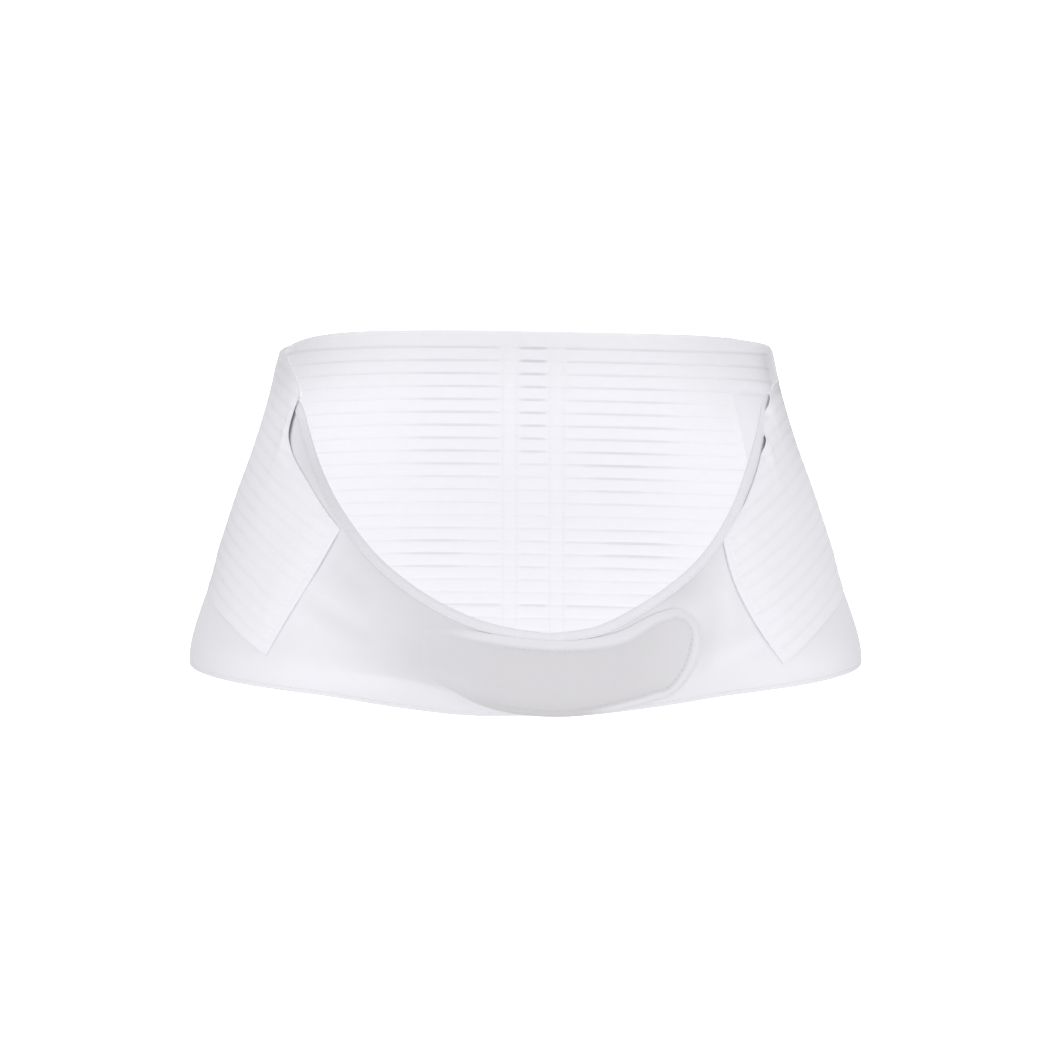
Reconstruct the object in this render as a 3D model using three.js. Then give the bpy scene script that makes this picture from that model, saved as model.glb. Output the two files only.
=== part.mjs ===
// A maternity support belt in its worn form, closed at the front. Millimetres, +Z up.
// The front of the belt faces -Y, +X is the viewer's right, and the body goes up through the hollow.
// Places on the belt are given by turn, the angle in degrees round from the middle of the front
// (positive towards +X), by height z on the body form, and by lift, the distance out from that form.
import * as THREE from "three";

// The body form that the inner face lies on: one row for each level.
const FORM = [
  { z: -40, half: 168, front: 108, back: 112 },
  { z: -15, half: 179, front: 124, back: 116 },
  { z: 5, half: 182, front: 136, back: 116 },
  { z: 30, half: 175.5, front: 145, back: 114 },
  { z: 60, half: 163.8, front: 146, back: 110 },
  { z: 90, half: 153.8, front: 140, back: 106 },
  { z: 120, half: 143, front: 131, back: 102 },
  { z: 150, half: 134.2, front: 122, back: 98 },
  { z: 180, half: 128.4, front: 114, back: 95 },
];
const FORM_POWER = 2.15;

// Ribbed elastic.
const RIB_PITCH = 7.3;
const RIB_THICKNESS = 2.2;
const RIB_GROOVE = 0.5;
const RIB_COUNT = 23;
const RIB_LEAN = 0.018;
const TOP_BAND = 9.5;
const BAND_SHOULDER = 1.5;
const BACK_HEIGHT = RIB_COUNT * RIB_PITCH + TOP_BAND;

// Seams, layers and clearances.
const GAP = 0.4;
const SEAM_CLEAR = 0.2;
const MEET_CLEAR = 0.1;
const WING_THICKNESS = 2.2;
const WING_MEET_TURN = -11.5;
const BINDING_WIDTH = 5;
const BINDING_PROUD = 0.45;
const BINDING_NOSE = 0.5;
const STRAP_LIFT = 3.1;
const TAB_LIFT = 3.1;
const TAB_THICKNESS = 2.4;
const TAB_RIM = 0.5;
const TAB_ROOT_THICKNESS = 0.9;

// Upper edge of the wings by turn: the U scoop, lowest a little to the right, and level to both side seams.
const SCOOP = [
  { turn: -126, z: 149 },
  { turn: -72, z: 149 },
  { turn: -64.5, z: 144.5 },
  { turn: -57, z: 131.8 },
  { turn: -48, z: 109.3 },
  { turn: -39, z: 87 },
  { turn: -30, z: 66 },
  { turn: -20, z: 48 },
  { turn: -9, z: 35 },
  { turn: 4, z: 28.6 },
  { turn: 10, z: 28.8 },
  { turn: 16, z: 31.8 },
  { turn: 26, z: 46.4 },
  { turn: 36, z: 65 },
  { turn: 45, z: 87 },
  { turn: 54, z: 110.5 },
  { turn: 62, z: 129 },
  { turn: 70, z: 145 },
  { turn: 78, z: 149 },
  { turn: 134, z: 149 },
];

// Top edge of the back by angle from the front: level behind, dropping towards the sides.
const TOP_EDGE = [
  { away: 90, z: 169 },
  { away: 104, z: 174 },
  { away: 118, z: 176.6 },
  { away: 135, z: BACK_HEIGHT },
  { away: 180, z: BACK_HEIGHT },
];

// Lower edge of the belt by angle from the front, then level round the back.
const HEM = [
  { away: -15, z: -17 },
  { away: 0, z: -17.2 },
  { away: 15, z: -17 },
  { away: 30, z: -13.2 },
  { away: 45, z: -8 },
  { away: 62, z: -4.8 },
  { away: 80, z: -1.6 },
  { away: 95, z: 0 },
  { away: 130, z: 0 },
];

// Soft folds of the wings, each a groove or ridge along a line from one place to another.
const FOLDS = [
  { turn: -50, z: 34, toTurn: -20, toZ: 0, width: 7, rise: -1.0 },
  { turn: -48, z: 52, toTurn: -30, toZ: 22, width: 8, rise: 0.9 },
  { turn: -44, z: 64, toTurn: -24, toZ: 38, width: 7, rise: -0.6 },
  { turn: 52, z: 26, toTurn: 36, toZ: 6, width: 8, rise: -0.8 },
];

// Outer straps, from the seam to the front end: their lower edge by share of their length.
const STRAP_ROOT_LAP = 2.5;
const STRAP_ROOT_RIB = 6;
const STRAP_TOP_SET = 1.2;
const STRAP_LOWER = [
  { along: 0.45, turn: 88, z: 40.5 },
  { along: 0.62, turn: 77, z: 36 },
  { along: 0.8, turn: 66, z: 27 },
  { along: 1, turn: 55, z: 11 },
];

// The upper edge of each strap, and how far it stands off the wing.
const STRAP_UPPER_LEFT = [
  { along: 0.25, turn: 90, z: 169.8, mouth: 0 },
  { along: 0.45, turn: 79, z: 170.5, mouth: 0.3 },
  { along: 0.62, turn: 64, z: 153, mouth: 1.5 },
  { along: 0.75, turn: 62, z: 125, mouth: 2.5 },
  { along: 0.87, turn: 50.5, z: 102.5, mouth: 0.6 },
  { along: 1, turn: 40, z: 80.5, mouth: 0 },
];
const STRAP_UPPER_RIGHT = [
  { along: 0.2, turn: 104, z: 173, mouth: 0 },
  { along: 0.35, turn: 94, z: 170.5, mouth: 0 },
  { along: 0.45, turn: 89, z: 164, mouth: 0.2 },
  { along: 0.54, turn: 85.5, z: 155.5, mouth: 0.6 },
  { along: 0.62, turn: 72, z: 147.5, mouth: 1.5 },
  { along: 0.8, turn: 60, z: 117, mouth: 1.5 },
  { along: 1, turn: 42.5, z: 75, mouth: 0 },
];
const STRAP_MOUTH_FADE = 3;
const STRAP_END_EASE = 6;
const STRAP_SLIVER = 0.5;

// The sides differ a little: turn of the seam, upper edge of the strap, and rise and bow of its front end.
const SIDES = [
  { name: "left", sign: -1, seam: 98, upper: STRAP_UPPER_LEFT, lowRise: 1.5, bow: 1 },
  { name: "right", sign: 1, seam: 116, upper: STRAP_UPPER_RIGHT, lowRise: -3, bow: 3.5 },
];
const [LEFT, RIGHT] = SIDES;

// Front tab: lower and upper edge by turn, then a rounded end.
const TAB = [
  { turn: -30, lower: 12, upper: 22 },
  { turn: -25, lower: 5, upper: 30 },
  { turn: -19, lower: -1, upper: 33 },
  { turn: -10, lower: -11, upper: 29.5 },
  { turn: 0, lower: -16, upper: 26 },
  { turn: 10, lower: -17, upper: 25 },
  { turn: 19, lower: -15, upper: 29 },
  { turn: 26, lower: -11.6, upper: 37.5 },
  { turn: 30, lower: -8.3, upper: 40.5 },
];
const TAB_END = { turn: 30, z: 21, reach: 6.6, roundShare: 0.95 };
const TAB_ROOT_FADE = 10;
const TAB_ROWS = [
  { height: 0, rim: 1 },
  { height: 0.1, rim: 1 },
  { height: 0.2, rim: 0 },
  { height: 0.5, rim: 0 },
  { height: 0.8, rim: 0 },
  { height: 0.9, rim: 1 },
  { height: 1, rim: 1 },
];
const TAB_END_RIM_COLUMNS = 2;

// Stay casings on the outer face of the back.
const STAY_WIDTH = 11.5;
const STAY_SPACING = 26.5;
const STAY_MIDDLE_X = 4.2;
const STAY_EDGE = 0.9;
const STAY_CROWN = 2;
const STAY_END_MARGIN = 2;

// How finely each piece is divided.
const BACK_COLUMNS = 18;
const STRAP_COLUMNS = 14;
const WING_COLUMNS = 28;
const WING_ROWS = 8;
const BINDING_COLUMNS = 34;
const TAB_STEP = 4;
const TAB_END_STEPS = 5;
const STAY_COLUMNS = 4;
const STAY_ROWS = 12;
const PROBE_TURN = 0.1;
const PROBE_Z = 0.5;

const FINISH = {
  rib: { color: 0xf1f0f5, roughness: 0.85, metalness: 0 },
  plush: { color: 0xe6e5eb, roughness: 0.95, metalness: 0 },
  binding: { color: 0xefeef2, roughness: 0.8, metalness: 0 },
  tab: { color: 0xdcdbde, roughness: 0.9, metalness: 0 },
  casing: { color: 0xf4f3f7, roughness: 0.75, metalness: 0 },
};

// Reads one column of a table at any key, along a smooth curve through its rows.
function curveThrough(rows, key, column) {
  const keys = rows.map((row) => row[key]);
  const values = rows.map((row) => row[column]);
  const last = rows.length - 1;
  const slopes = values.map((value, k) => {
    const before = Math.max(k - 1, 0);
    const after = Math.min(k + 1, last);
    return (values[after] - values[before]) / (keys[after] - keys[before]);
  });
  return (wanted) => {
    const at = THREE.MathUtils.clamp(wanted, keys[0], keys[last]);
    let k = 0;
    while (k < last - 1 && at > keys[k + 1]) k += 1;
    const span = keys[k + 1] - keys[k];
    const t = (at - keys[k]) / span;
    const ease = t * t * (3 - 2 * t);
    const leaving = t * (1 - t) * (1 - t) * span * slopes[k];
    const arriving = t * t * (t - 1) * span * slopes[k + 1];
    return values[k] * (1 - ease) + values[k + 1] * ease + leaving + arriving;
  };
}

const formHalf = curveThrough(FORM, "z", "half");
const formFront = curveThrough(FORM, "z", "front");
const formBack = curveThrough(FORM, "z", "back");
const upperEdge = curveThrough(SCOOP, "turn", "z");
const hemHeight = curveThrough(HEM, "away", "z");
const topHeight = curveThrough(TOP_EDGE, "away", "z");

function mix(from, to, share) {
  return from + (to - from) * share;
}

function steps(count) {
  return Array.from({ length: count + 1 }, (unused, k) => k / count);
}

// The point of the body form at a turn and height. The back leans a little down to the right.
function onForm(turn, z) {
  const angle = THREE.MathUtils.degToRad(turn);
  const side = Math.sin(angle);
  const ahead = Math.cos(angle);
  const depth = ahead > 0 ? formFront(z) : formBack(z);
  const sum = (Math.abs(side) / formHalf(z)) ** FORM_POWER + (Math.abs(ahead) / depth) ** FORM_POWER;
  const radius = sum ** (-1 / FORM_POWER);
  const lean = RIB_LEAN * radius * side * Math.max(0, -ahead);
  return new THREE.Vector3(radius * side, -radius * ahead, z - lean);
}

function formNormal(turn, z) {
  const round = onForm(turn + PROBE_TURN, z).sub(onForm(turn - PROBE_TURN, z));
  const up = onForm(turn, z + PROBE_Z).sub(onForm(turn, z - PROBE_Z));
  return round.cross(up).normalize();
}

function lifted(place, lift) {
  return onForm(place.turn, place.z).addScaledVector(formNormal(place.turn, place.z), lift);
}

function lowerEdge(turn) {
  return hemHeight(Math.abs(turn));
}

// The place on the form that lies a distance below the wings' upper edge, square to the edge.
function belowUpperEdge(turn, distance) {
  const z = upperEdge(turn);
  const ahead = turn + PROBE_TURN;
  const behind = turn - PROBE_TURN;
  const along = onForm(ahead, upperEdge(ahead)).sub(onForm(behind, upperEdge(behind)));
  const down = along.cross(formNormal(turn, z)).normalize();
  const point = onForm(turn, z).addScaledVector(down, distance);
  const lean = onForm(turn, z).z - z;
  return { turn: THREE.MathUtils.radToDeg(Math.atan2(point.x, -point.y)), z: point.z - lean };
}

function signedVolume(positions, faces) {
  const corner = (index) => new THREE.Vector3().fromArray(positions, index * 3);
  return faces.reduce((sum, [a, b, c]) => sum + corner(a).dot(corner(b).cross(corner(c))), 0);
}

// A closed cloth solid from a grid of places, each with its inner and outer lift.
// A column may repeat its last place, where its neighbour is longer.
function clothSolid(columns) {
  const positions = [];
  const outerIndex = new Map();
  for (const place of columns.flat()) {
    if (outerIndex.has(place)) continue;
    outerIndex.set(place, positions.length / 3);
    positions.push(...lifted(place, place.outer).toArray(), ...lifted(place, place.inner).toArray());
  }
  const out = (place) => outerIndex.get(place);
  const inn = (place) => outerIndex.get(place) + 1;
  const faces = [];
  const addFace = (a, b, c) => {
    if (a !== b && b !== c && a !== c) faces.push([a, b, c]);
  };
  const lastColumn = columns.length - 1;
  const lastRow = columns[0].length - 1;
  for (let i = 0; i < lastColumn; i += 1) {
    for (let j = 0; j < lastRow; j += 1) {
      const [a, b, c, d] = [columns[i][j], columns[i + 1][j], columns[i + 1][j + 1], columns[i][j + 1]];
      addFace(out(a), out(b), out(c));
      addFace(out(a), out(c), out(d));
      addFace(inn(a), inn(c), inn(b));
      addFace(inn(a), inn(d), inn(c));
    }
  }
  const rim = [
    ...columns.map((column) => column[0]),
    ...columns[lastColumn].slice(1),
    ...columns.slice(0, lastColumn).reverse().map((column) => column[lastRow]),
    ...columns[0].slice(1, lastRow).reverse(),
  ];
  rim.forEach((place, k) => {
    const next = rim[(k + 1) % rim.length];
    addFace(out(next), out(place), inn(place));
    addFace(out(next), inn(place), inn(next));
  });
  const facesOut = signedVolume(positions, faces) > 0;
  const geometry = new THREE.BufferGeometry();
  geometry.setAttribute("position", new THREE.Float32BufferAttribute(positions, 3));
  geometry.setIndex(faces.flatMap(([a, b, c]) => (facesOut ? [a, b, c] : [a, c, b])));
  geometry.computeVertexNormals();
  return geometry;
}

function namedMesh(name, geometry, finish) {
  const mesh = new THREE.Mesh(geometry, new THREE.MeshStandardMaterial(finish));
  mesh.name = name;
  return mesh;
}

// A place on ribbed elastic: full thickness on a rib, thinner by the groove on both faces between ribs.
function ribPlace(turn, z, lift, onRib) {
  const dip = onRib ? 0 : RIB_GROOVE;
  return { turn, z, inner: lift + dip, outer: lift + RIB_THICKNESS - dip };
}

// The back panel: level ribs from the lower edge up, then a plain band.
function backPanel() {
  const columns = steps(BACK_COLUMNS).map((share) => {
    const turn = mix(RIGHT.seam, 360 - LEFT.seam, share);
    const halfRows = steps(2 * RIB_COUNT).map((unused, j) => (
      ribPlace(turn, j * RIB_PITCH / 2, 0, j % 2 === 1)
    ));
    const bandFoot = RIB_COUNT * RIB_PITCH + BAND_SHOULDER;
    const top = topHeight(180 - Math.abs(180 - turn));
    return [...halfRows, ribPlace(turn, bandFoot, 0, true), ribPlace(turn, top, 0, true)];
  });
  return namedMesh("back_panel", clothSolid(columns), FINISH.rib);
}

// How far the folds push a wing in or out at a place.
function foldRise(turn, z) {
  return FOLDS.reduce((sum, fold) => {
    const from = onForm(fold.turn, fold.z);
    const to = onForm(fold.toTurn, fold.toZ);
    const point = onForm(turn, z);
    const line = new THREE.Line3(from, to);
    const share = line.closestPointToPointParameter(point, true);
    const distance = line.at(share, new THREE.Vector3()).distanceTo(point);
    const fade = Math.sin(Math.PI * THREE.MathUtils.clamp(share, 0, 1));
    return sum + fold.rise * fade * Math.exp(-((distance / fold.width) ** 2));
  }, 0);
}

// A wing: smooth plush between the belt's lower edge and the bound upper edge.
function wing(name, fromTurn, toTurn) {
  const columns = steps(WING_COLUMNS).map((share) => {
    const turn = mix(fromTurn, toTurn, share);
    const low = { turn, z: lowerEdge(turn) };
    const high = belowUpperEdge(turn, BINDING_WIDTH + GAP);
    return steps(WING_ROWS).map((height) => {
      const placeTurn = mix(low.turn, high.turn, height);
      const z = mix(low.z, high.z, height);
      const rise = foldRise(placeTurn, z) * Math.sin(Math.PI * height);
      return { turn: placeTurn, z, inner: rise, outer: WING_THICKNESS + rise };
    });
  });
  return namedMesh(name, clothSolid(columns), FINISH.plush);
}

// The bound edge along the top of a wing, thicker than the wing, with a narrowed nose.
function scoopBinding(name, fromTurn, toTurn) {
  const inner = -BINDING_PROUD;
  const outer = WING_THICKNESS + BINDING_PROUD;
  const columns = steps(BINDING_COLUMNS).map((share) => {
    const turn = mix(fromTurn, toTurn, share);
    return [
      { ...belowUpperEdge(turn, BINDING_WIDTH), inner, outer },
      { ...belowUpperEdge(turn, BINDING_NOSE * 2), inner, outer },
      { ...belowUpperEdge(turn, 0), inner: inner + BINDING_NOSE, outer: outer - BINDING_NOSE },
    ];
  });
  return namedMesh(name, clothSolid(columns), FINISH.binding);
}

// The lower and upper place of a strap at a share of its length.
function strapEdges(side) {
  const rootTurn = side.seam + STRAP_ROOT_LAP;
  const rootZ = STRAP_ROOT_RIB * RIB_PITCH;
  const rootTop = topHeight(rootTurn) - STRAP_TOP_SET;
  const lower = [{ along: 0, turn: rootTurn, z: rootZ }, ...STRAP_LOWER];
  const upper = [{ along: 0, turn: rootTurn, z: rootTop, mouth: 0 }, ...side.upper];
  const [lowTurn, lowZ] = ["turn", "z"].map((name) => curveThrough(lower, "along", name));
  const [highTurn, highZ, mouth] = ["turn", "z", "mouth"].map((name) => curveThrough(upper, "along", name));
  return (along) => {
    const late = along ** STRAP_END_EASE;
    return {
      low: { turn: lowTurn(along), z: lowZ(along) + side.lowRise * late },
      high: { turn: highTurn(along), z: highZ(along) },
      mouth: Math.max(0, mouth(along)),
      bow: side.bow * late,
    };
  };
}

// A ribbed outer strap: its ribs follow the lower edge, and the upper edge cuts them as the strap narrows.
function strap(side) {
  const edgesAt = strapEdges(side);
  const lines = steps(STRAP_COLUMNS).map((along) => {
    const edges = edgesAt(along);
    const length = onForm(edges.low.turn, edges.low.z).distanceTo(onForm(edges.high.turn, edges.high.z));
    return { ...edges, length };
  });
  const longest = Math.max(...lines.map((line) => line.length));
  const rowCount = Math.ceil(2 * longest / RIB_PITCH);
  const columns = lines.map((line) => {
    const placeAt = (distance, onRib) => {
      const height = distance / line.length;
      const bow = line.bow * 4 * height * (1 - height);
      const turn = side.sign * (mix(line.low.turn, line.high.turn, height) - bow);
      const lift = STRAP_LIFT + line.mouth * height ** STRAP_MOUTH_FADE;
      return ribPlace(turn, mix(line.low.z, line.high.z, height), lift, onRib);
    };
    const edge = placeAt(line.length, true);
    return steps(rowCount).map((unused, j) => {
      const distance = j * RIB_PITCH / 2;
      return distance < line.length - STRAP_SLIVER ? placeAt(distance, j % 2 === 1) : edge;
    });
  });
  return namedMesh(`strap_${side.name}`, clothSolid(columns), FINISH.rib);
}

// The lower and upper edge of the front tab at each of its columns, with the half-round end last.
function tabColumns() {
  const lower = curveThrough(TAB, "turn", "lower");
  const upper = curveThrough(TAB, "turn", "upper");
  const start = TAB[0].turn;
  const count = Math.round((TAB_END.turn - start) / TAB_STEP);
  const straight = steps(count).map((share) => {
    const turn = mix(start, TAB_END.turn, share);
    return { turn, lower: lower(turn), upper: upper(turn) };
  });
  const endLower = lower(TAB_END.turn);
  const endUpper = upper(TAB_END.turn);
  const round = steps(TAB_END_STEPS).slice(1).map((share) => {
    const angle = share * TAB_END.roundShare * Math.PI / 2;
    return {
      turn: TAB_END.turn + TAB_END.reach * Math.sin(angle),
      lower: mix(TAB_END.z, endLower, Math.cos(angle)),
      upper: mix(TAB_END.z, endUpper, Math.cos(angle)),
    };
  });
  return [...straight, ...round];
}

// The front tab: a thick rim round a flatter face, thinning to its sewn root.
function closureTab() {
  const columns = tabColumns().map(({ turn, lower, upper }, i, all) => {
    const root = THREE.MathUtils.clamp((turn - TAB[0].turn) / TAB_ROOT_FADE, 0, 1);
    const thickness = mix(TAB_ROOT_THICKNESS, TAB_THICKNESS, root);
    const endRim = i >= all.length - TAB_END_RIM_COLUMNS ? 1 : 0;
    return TAB_ROWS.map(({ height, rim }) => {
      const outer = TAB_LIFT + thickness + TAB_RIM * root * Math.max(rim, endRim);
      return { turn, z: mix(lower, upper, height), inner: TAB_LIFT, outer };
    });
  });
  return namedMesh("closure_tab", clothSolid(columns), FINISH.tab);
}

// The turn at which the back of the form has a given x.
function backTurn(x, z) {
  const share = 1 - (Math.abs(x) / formHalf(z)) ** FORM_POWER;
  const y = formBack(z) * share ** (1 / FORM_POWER);
  return THREE.MathUtils.radToDeg(Math.atan2(x, -y));
}

// A stay casing: a crowned upright tape on the outer face of the back panel.
function stay(side) {
  const middle = STAY_MIDDLE_X + side.sign * STAY_SPACING / 2;
  const lift = RIB_THICKNESS + GAP;
  const columns = steps(STAY_COLUMNS).map((across) => (
    steps(STAY_ROWS).map((height) => {
      const z = mix(STAY_END_MARGIN, BACK_HEIGHT - STAY_END_MARGIN, height);
      const crown = Math.sin(Math.PI * across);
      const turn = backTurn(middle + (across - 0.5) * STAY_WIDTH, z);
      return { turn, z, inner: lift, outer: lift + mix(STAY_EDGE, STAY_CROWN, crown) };
    })
  ));
  return namedMesh(`stay_${side.name}`, clothSolid(columns), FINISH.casing);
}

const belt = new THREE.Group();
const leftSpan = [SEAM_CLEAR - LEFT.seam, WING_MEET_TURN - MEET_CLEAR];
const rightSpan = [WING_MEET_TURN + MEET_CLEAR, RIGHT.seam - SEAM_CLEAR];
belt.add(backPanel());
belt.add(wing("wing_left", ...leftSpan));
belt.add(wing("wing_right", ...rightSpan));
belt.add(scoopBinding("scoop_binding_left", ...leftSpan));
belt.add(scoopBinding("scoop_binding_right", ...rightSpan));
belt.add(closureTab());
for (const side of SIDES) {
  belt.add(strap(side));
  belt.add(stay(side));
}

export default belt;
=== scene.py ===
"""A white maternity support belt in its worn form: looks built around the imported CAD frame.

Places on the belt are given as in the CAD source, in millimetres: turn is the angle in degrees round from
the middle of the front (positive towards +X), z the height on the body form, and lift the distance out from
that form. Left and right are the viewer's. A pair of numbers says where a soft change starts and ends.
"""

import math

import bmesh
import bpy
import numpy as np
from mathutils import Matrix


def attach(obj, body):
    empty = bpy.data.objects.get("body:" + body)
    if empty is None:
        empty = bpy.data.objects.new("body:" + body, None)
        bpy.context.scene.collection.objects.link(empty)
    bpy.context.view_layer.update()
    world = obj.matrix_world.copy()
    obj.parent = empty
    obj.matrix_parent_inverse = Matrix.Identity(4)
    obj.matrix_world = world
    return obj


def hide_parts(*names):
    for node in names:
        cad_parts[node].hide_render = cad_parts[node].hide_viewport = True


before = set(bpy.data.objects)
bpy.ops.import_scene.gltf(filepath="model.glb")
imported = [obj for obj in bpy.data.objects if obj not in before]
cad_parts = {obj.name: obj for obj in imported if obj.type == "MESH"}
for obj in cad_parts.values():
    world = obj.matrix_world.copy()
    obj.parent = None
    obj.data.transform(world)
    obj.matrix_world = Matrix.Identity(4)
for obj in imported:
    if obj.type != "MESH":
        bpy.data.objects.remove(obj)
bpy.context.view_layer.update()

MM = 0.001


def table(names, *rows):
    """Rows of numbers as one array for each named column."""
    return {name: np.array(column, float) for name, column in zip(names.split(), zip(*rows))}


# The body form and the edges of the belt, as in the CAD source. Only the scoop departs from it, by about
# 1 mm at the left wing's tip and at its own lower right.
FORM_POWER = 2.15
RIB_LEAN = 0.018
FORM = table(
    "z half front back",
    (-40, 168, 108, 112),
    (-15, 179, 124, 116),
    (5, 182, 136, 116),
    (30, 175.5, 145, 114),
    (60, 163.8, 146, 110),
    (90, 153.8, 140, 106),
    (120, 143, 131, 102),
    (150, 134.2, 122, 98),
    (180, 128.4, 114, 95),
)
SCOOP = table(
    "turn z",
    (-126, 149), (-70.4, 149), (-62.6, 144.8), (-56.5, 131.2), (-48, 109.3), (-39, 87), (-30, 66),
    (-20, 48), (-9, 35), (4, 28.6), (10, 29.6), (16, 33), (26, 46.8), (36, 65), (45, 87),
    (54, 110.5), (62, 129), (70, 145), (78, 149), (134, 149),
)
TOP_EDGE = table("away z", (90, 169), (104, 174), (118, 176.6), (135, 177.4), (180, 177.4))
HEM = table(
    "away z",
    (-15, -17), (0, -17.2), (15, -17), (30, -13.2), (45, -8), (62, -4.8), (80, -1.6), (95, 0), (130, 0),
)

# Ribbed elastic: half thickness of its ribs, of the lines between them and of plain edges, and the shares
# of a rib's width that get a row of points.
RIB_PITCH = 7.3
RIB_COUNT = 23
RIB_HALF = 1.1
LINE_HALF = {"pale": 0.98, "dark": 0.72}
PLAIN_HALF = 0.95
SHEER_SHARE = 0.095
RIB_SHARES = (0, 0.05, 0.18, 0.5, 0.82, 0.95, 1)

# Seams and layers.
WING_MEET = -11.5
SEAM_GAP = 0.04
MEET_GAP = 0.004
CLOTH_MIDDLE = 1.1
HEM_LINE = 2.6

# The two sides. The gapes are places where a strap's upper edge stands off: middle height, half length and
# depth.
STRAP_UPPER_LEFT = table(
    "along turn z",
    (0.25, 90, 169.8), (0.45, 79, 170.5), (0.62, 64, 153), (0.75, 62, 125), (0.87, 50.5, 102.5),
    (1, 40, 80.5),
)
STRAP_UPPER_RIGHT = table(
    "along turn z",
    (0.2, 104, 173), (0.35, 94, 170.5), (0.45, 89, 164), (0.54, 85.5, 155.5), (0.62, 72, 147.5),
    (0.8, 60, 117), (1, 42.5, 75),
)
LEFT = {
    "name": "left",
    "sign": -1,
    "seam": 98,
    "upper": STRAP_UPPER_LEFT,
    "gapes": table("z half depth", (136, 12, 1.4)),
    "low_rise": 1.5,
    "bow": 1,
    "proud": 0,
}
RIGHT = {
    "name": "right",
    "sign": 1,
    "seam": 116,
    "upper": STRAP_UPPER_RIGHT,
    "gapes": table("z half depth", (145, 4, 2.0), (123.5, 4, 2.0)),
    "low_rise": -3,
    "bow": 3.5,
    "proud": 1,
}
SIDES = (LEFT, RIGHT)


# Curves and places.
def curve_through(rows, key, column):
    """Reads one column of a table at any key, along a smooth curve through its rows."""
    keys, values = rows[key], rows[column]
    last = len(keys) - 1
    order = np.arange(last + 1)
    before, after = np.maximum(order - 1, 0), np.minimum(order + 1, last)
    slopes = (values[after] - values[before]) / (keys[after] - keys[before])

    def read(wanted):
        at = np.clip(wanted, keys[0], keys[last])
        k = np.clip(np.searchsorted(keys, at) - 1, 0, last - 1)
        span = keys[k + 1] - keys[k]
        t = (at - keys[k]) / span
        ease = t * t * (3 - 2 * t)
        leaving = t * (1 - t) ** 2 * span * slopes[k]
        arriving = t * t * (t - 1) * span * slopes[k + 1]
        return values[k] * (1 - ease) + values[k + 1] * ease + leaving + arriving

    return read


form_half = curve_through(FORM, "z", "half")
form_front = curve_through(FORM, "z", "front")
form_back = curve_through(FORM, "z", "back")
upper_edge = curve_through(SCOOP, "turn", "z")
hem_height = curve_through(HEM, "away", "z")
top_height = curve_through(TOP_EDGE, "away", "z")


def mix(start, end, share):
    return start + (end - start) * share


def smooth(low, high, value):
    """0 below low, 1 above high, with a soft change between."""
    t = np.clip((value - low) / (high - low), 0, 1)
    return t * t * (3 - 2 * t)


def bell(away, half):
    """1 at the middle of a line, falling off softly within about a half width on both sides."""
    return np.exp(-((away / half) ** 2))


def unit(vectors):
    return vectors / np.linalg.norm(vectors, axis=-1, keepdims=True)


def distance(a, b):
    return np.linalg.norm(a - b, axis=-1)


def ripple(a, b, size):
    """A gentle repeatable unevenness from -1 to 1, with waves of about the given size."""
    p, q = a / size, b / size
    return 0.5 * np.sin(p + 0.7 * np.sin(1.7 * q)) + 0.5 * np.sin(1.3 * q + 0.9 * np.sin(1.1 * p + 2))


def on_form(turn, z):
    """The point of the body form at a turn and height."""
    angle = np.radians(turn)
    side, ahead = np.sin(angle), np.cos(angle)
    depth = np.where(ahead > 0, form_front(z), form_back(z))
    total = (np.abs(side) / form_half(z)) ** FORM_POWER + (np.abs(ahead) / depth) ** FORM_POWER
    radius = total ** (-1 / FORM_POWER)
    lean = RIB_LEAN * radius * side * np.maximum(0, -ahead)
    return np.stack([radius * side, -radius * ahead, z - lean], axis=-1)


def form_normal(turn, z, probe_turn=0.1, probe_z=0.5):
    around = on_form(turn + probe_turn, z) - on_form(turn - probe_turn, z)
    up = on_form(turn, z + probe_z) - on_form(turn, z - probe_z)
    return unit(np.cross(around, up))


def lifted(turn, z, lift):
    return on_form(turn, z) + form_normal(turn, z) * np.asarray(lift)[..., None]


def below_upper_edge(turn, drop, probe=0.1):
    """Turn and z of the place that lies a distance below the wings' upper edge, square to it."""
    z = upper_edge(turn)
    ahead, behind = turn + probe, turn - probe
    along = on_form(ahead, upper_edge(ahead)) - on_form(behind, upper_edge(behind))
    down = unit(np.cross(along, form_normal(turn, z)))
    base = on_form(turn, z)
    point = base + down * np.asarray(drop)[..., None]
    lean = base[..., 2] - z
    return np.degrees(np.arctan2(point[..., 0], -point[..., 1])), point[..., 2] - lean


def edge_round(inward, radius, least=0.12):
    """Share of the full thickness at a distance in from a rounded edge."""
    share = np.clip(inward / radius, 0, 1)
    return np.maximum(least, np.sqrt(1 - (1 - share) ** 2))


def near_lines(turn, z, lines, column):
    """Sum of one column of a table of lines at a place, where each fades along and away from its line."""
    point = on_form(turn, z)
    total = np.zeros_like(z)
    for k in range(len(lines["turn"])):
        start = on_form(lines["turn"][k], lines["z"][k])
        line = on_form(lines["to_turn"][k], lines["to_z"][k]) - start
        share = np.clip(((point - start) @ line) / (line @ line), 0, 1)
        away = distance(point, start + share[..., None] * line)
        total += lines[column][k] * np.sin(np.pi * share) * bell(away, lines["width"][k])
    return total


def painted_shade_patches(turn, z, patches):
    """How much painted shade darkens the cloth at a place; a patch below 0 paints it lighter."""
    total = np.zeros(np.broadcast(turn, z).shape)
    for k in range(len(patches["turn"])):
        around = (turn - patches["turn"][k]) / patches["half_turn"][k]
        up = (z - patches["z"][k]) / patches["half_z"][k]
        total += patches["depth"][k] * np.exp(-(around ** 2) - up ** 2)
    return total


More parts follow.
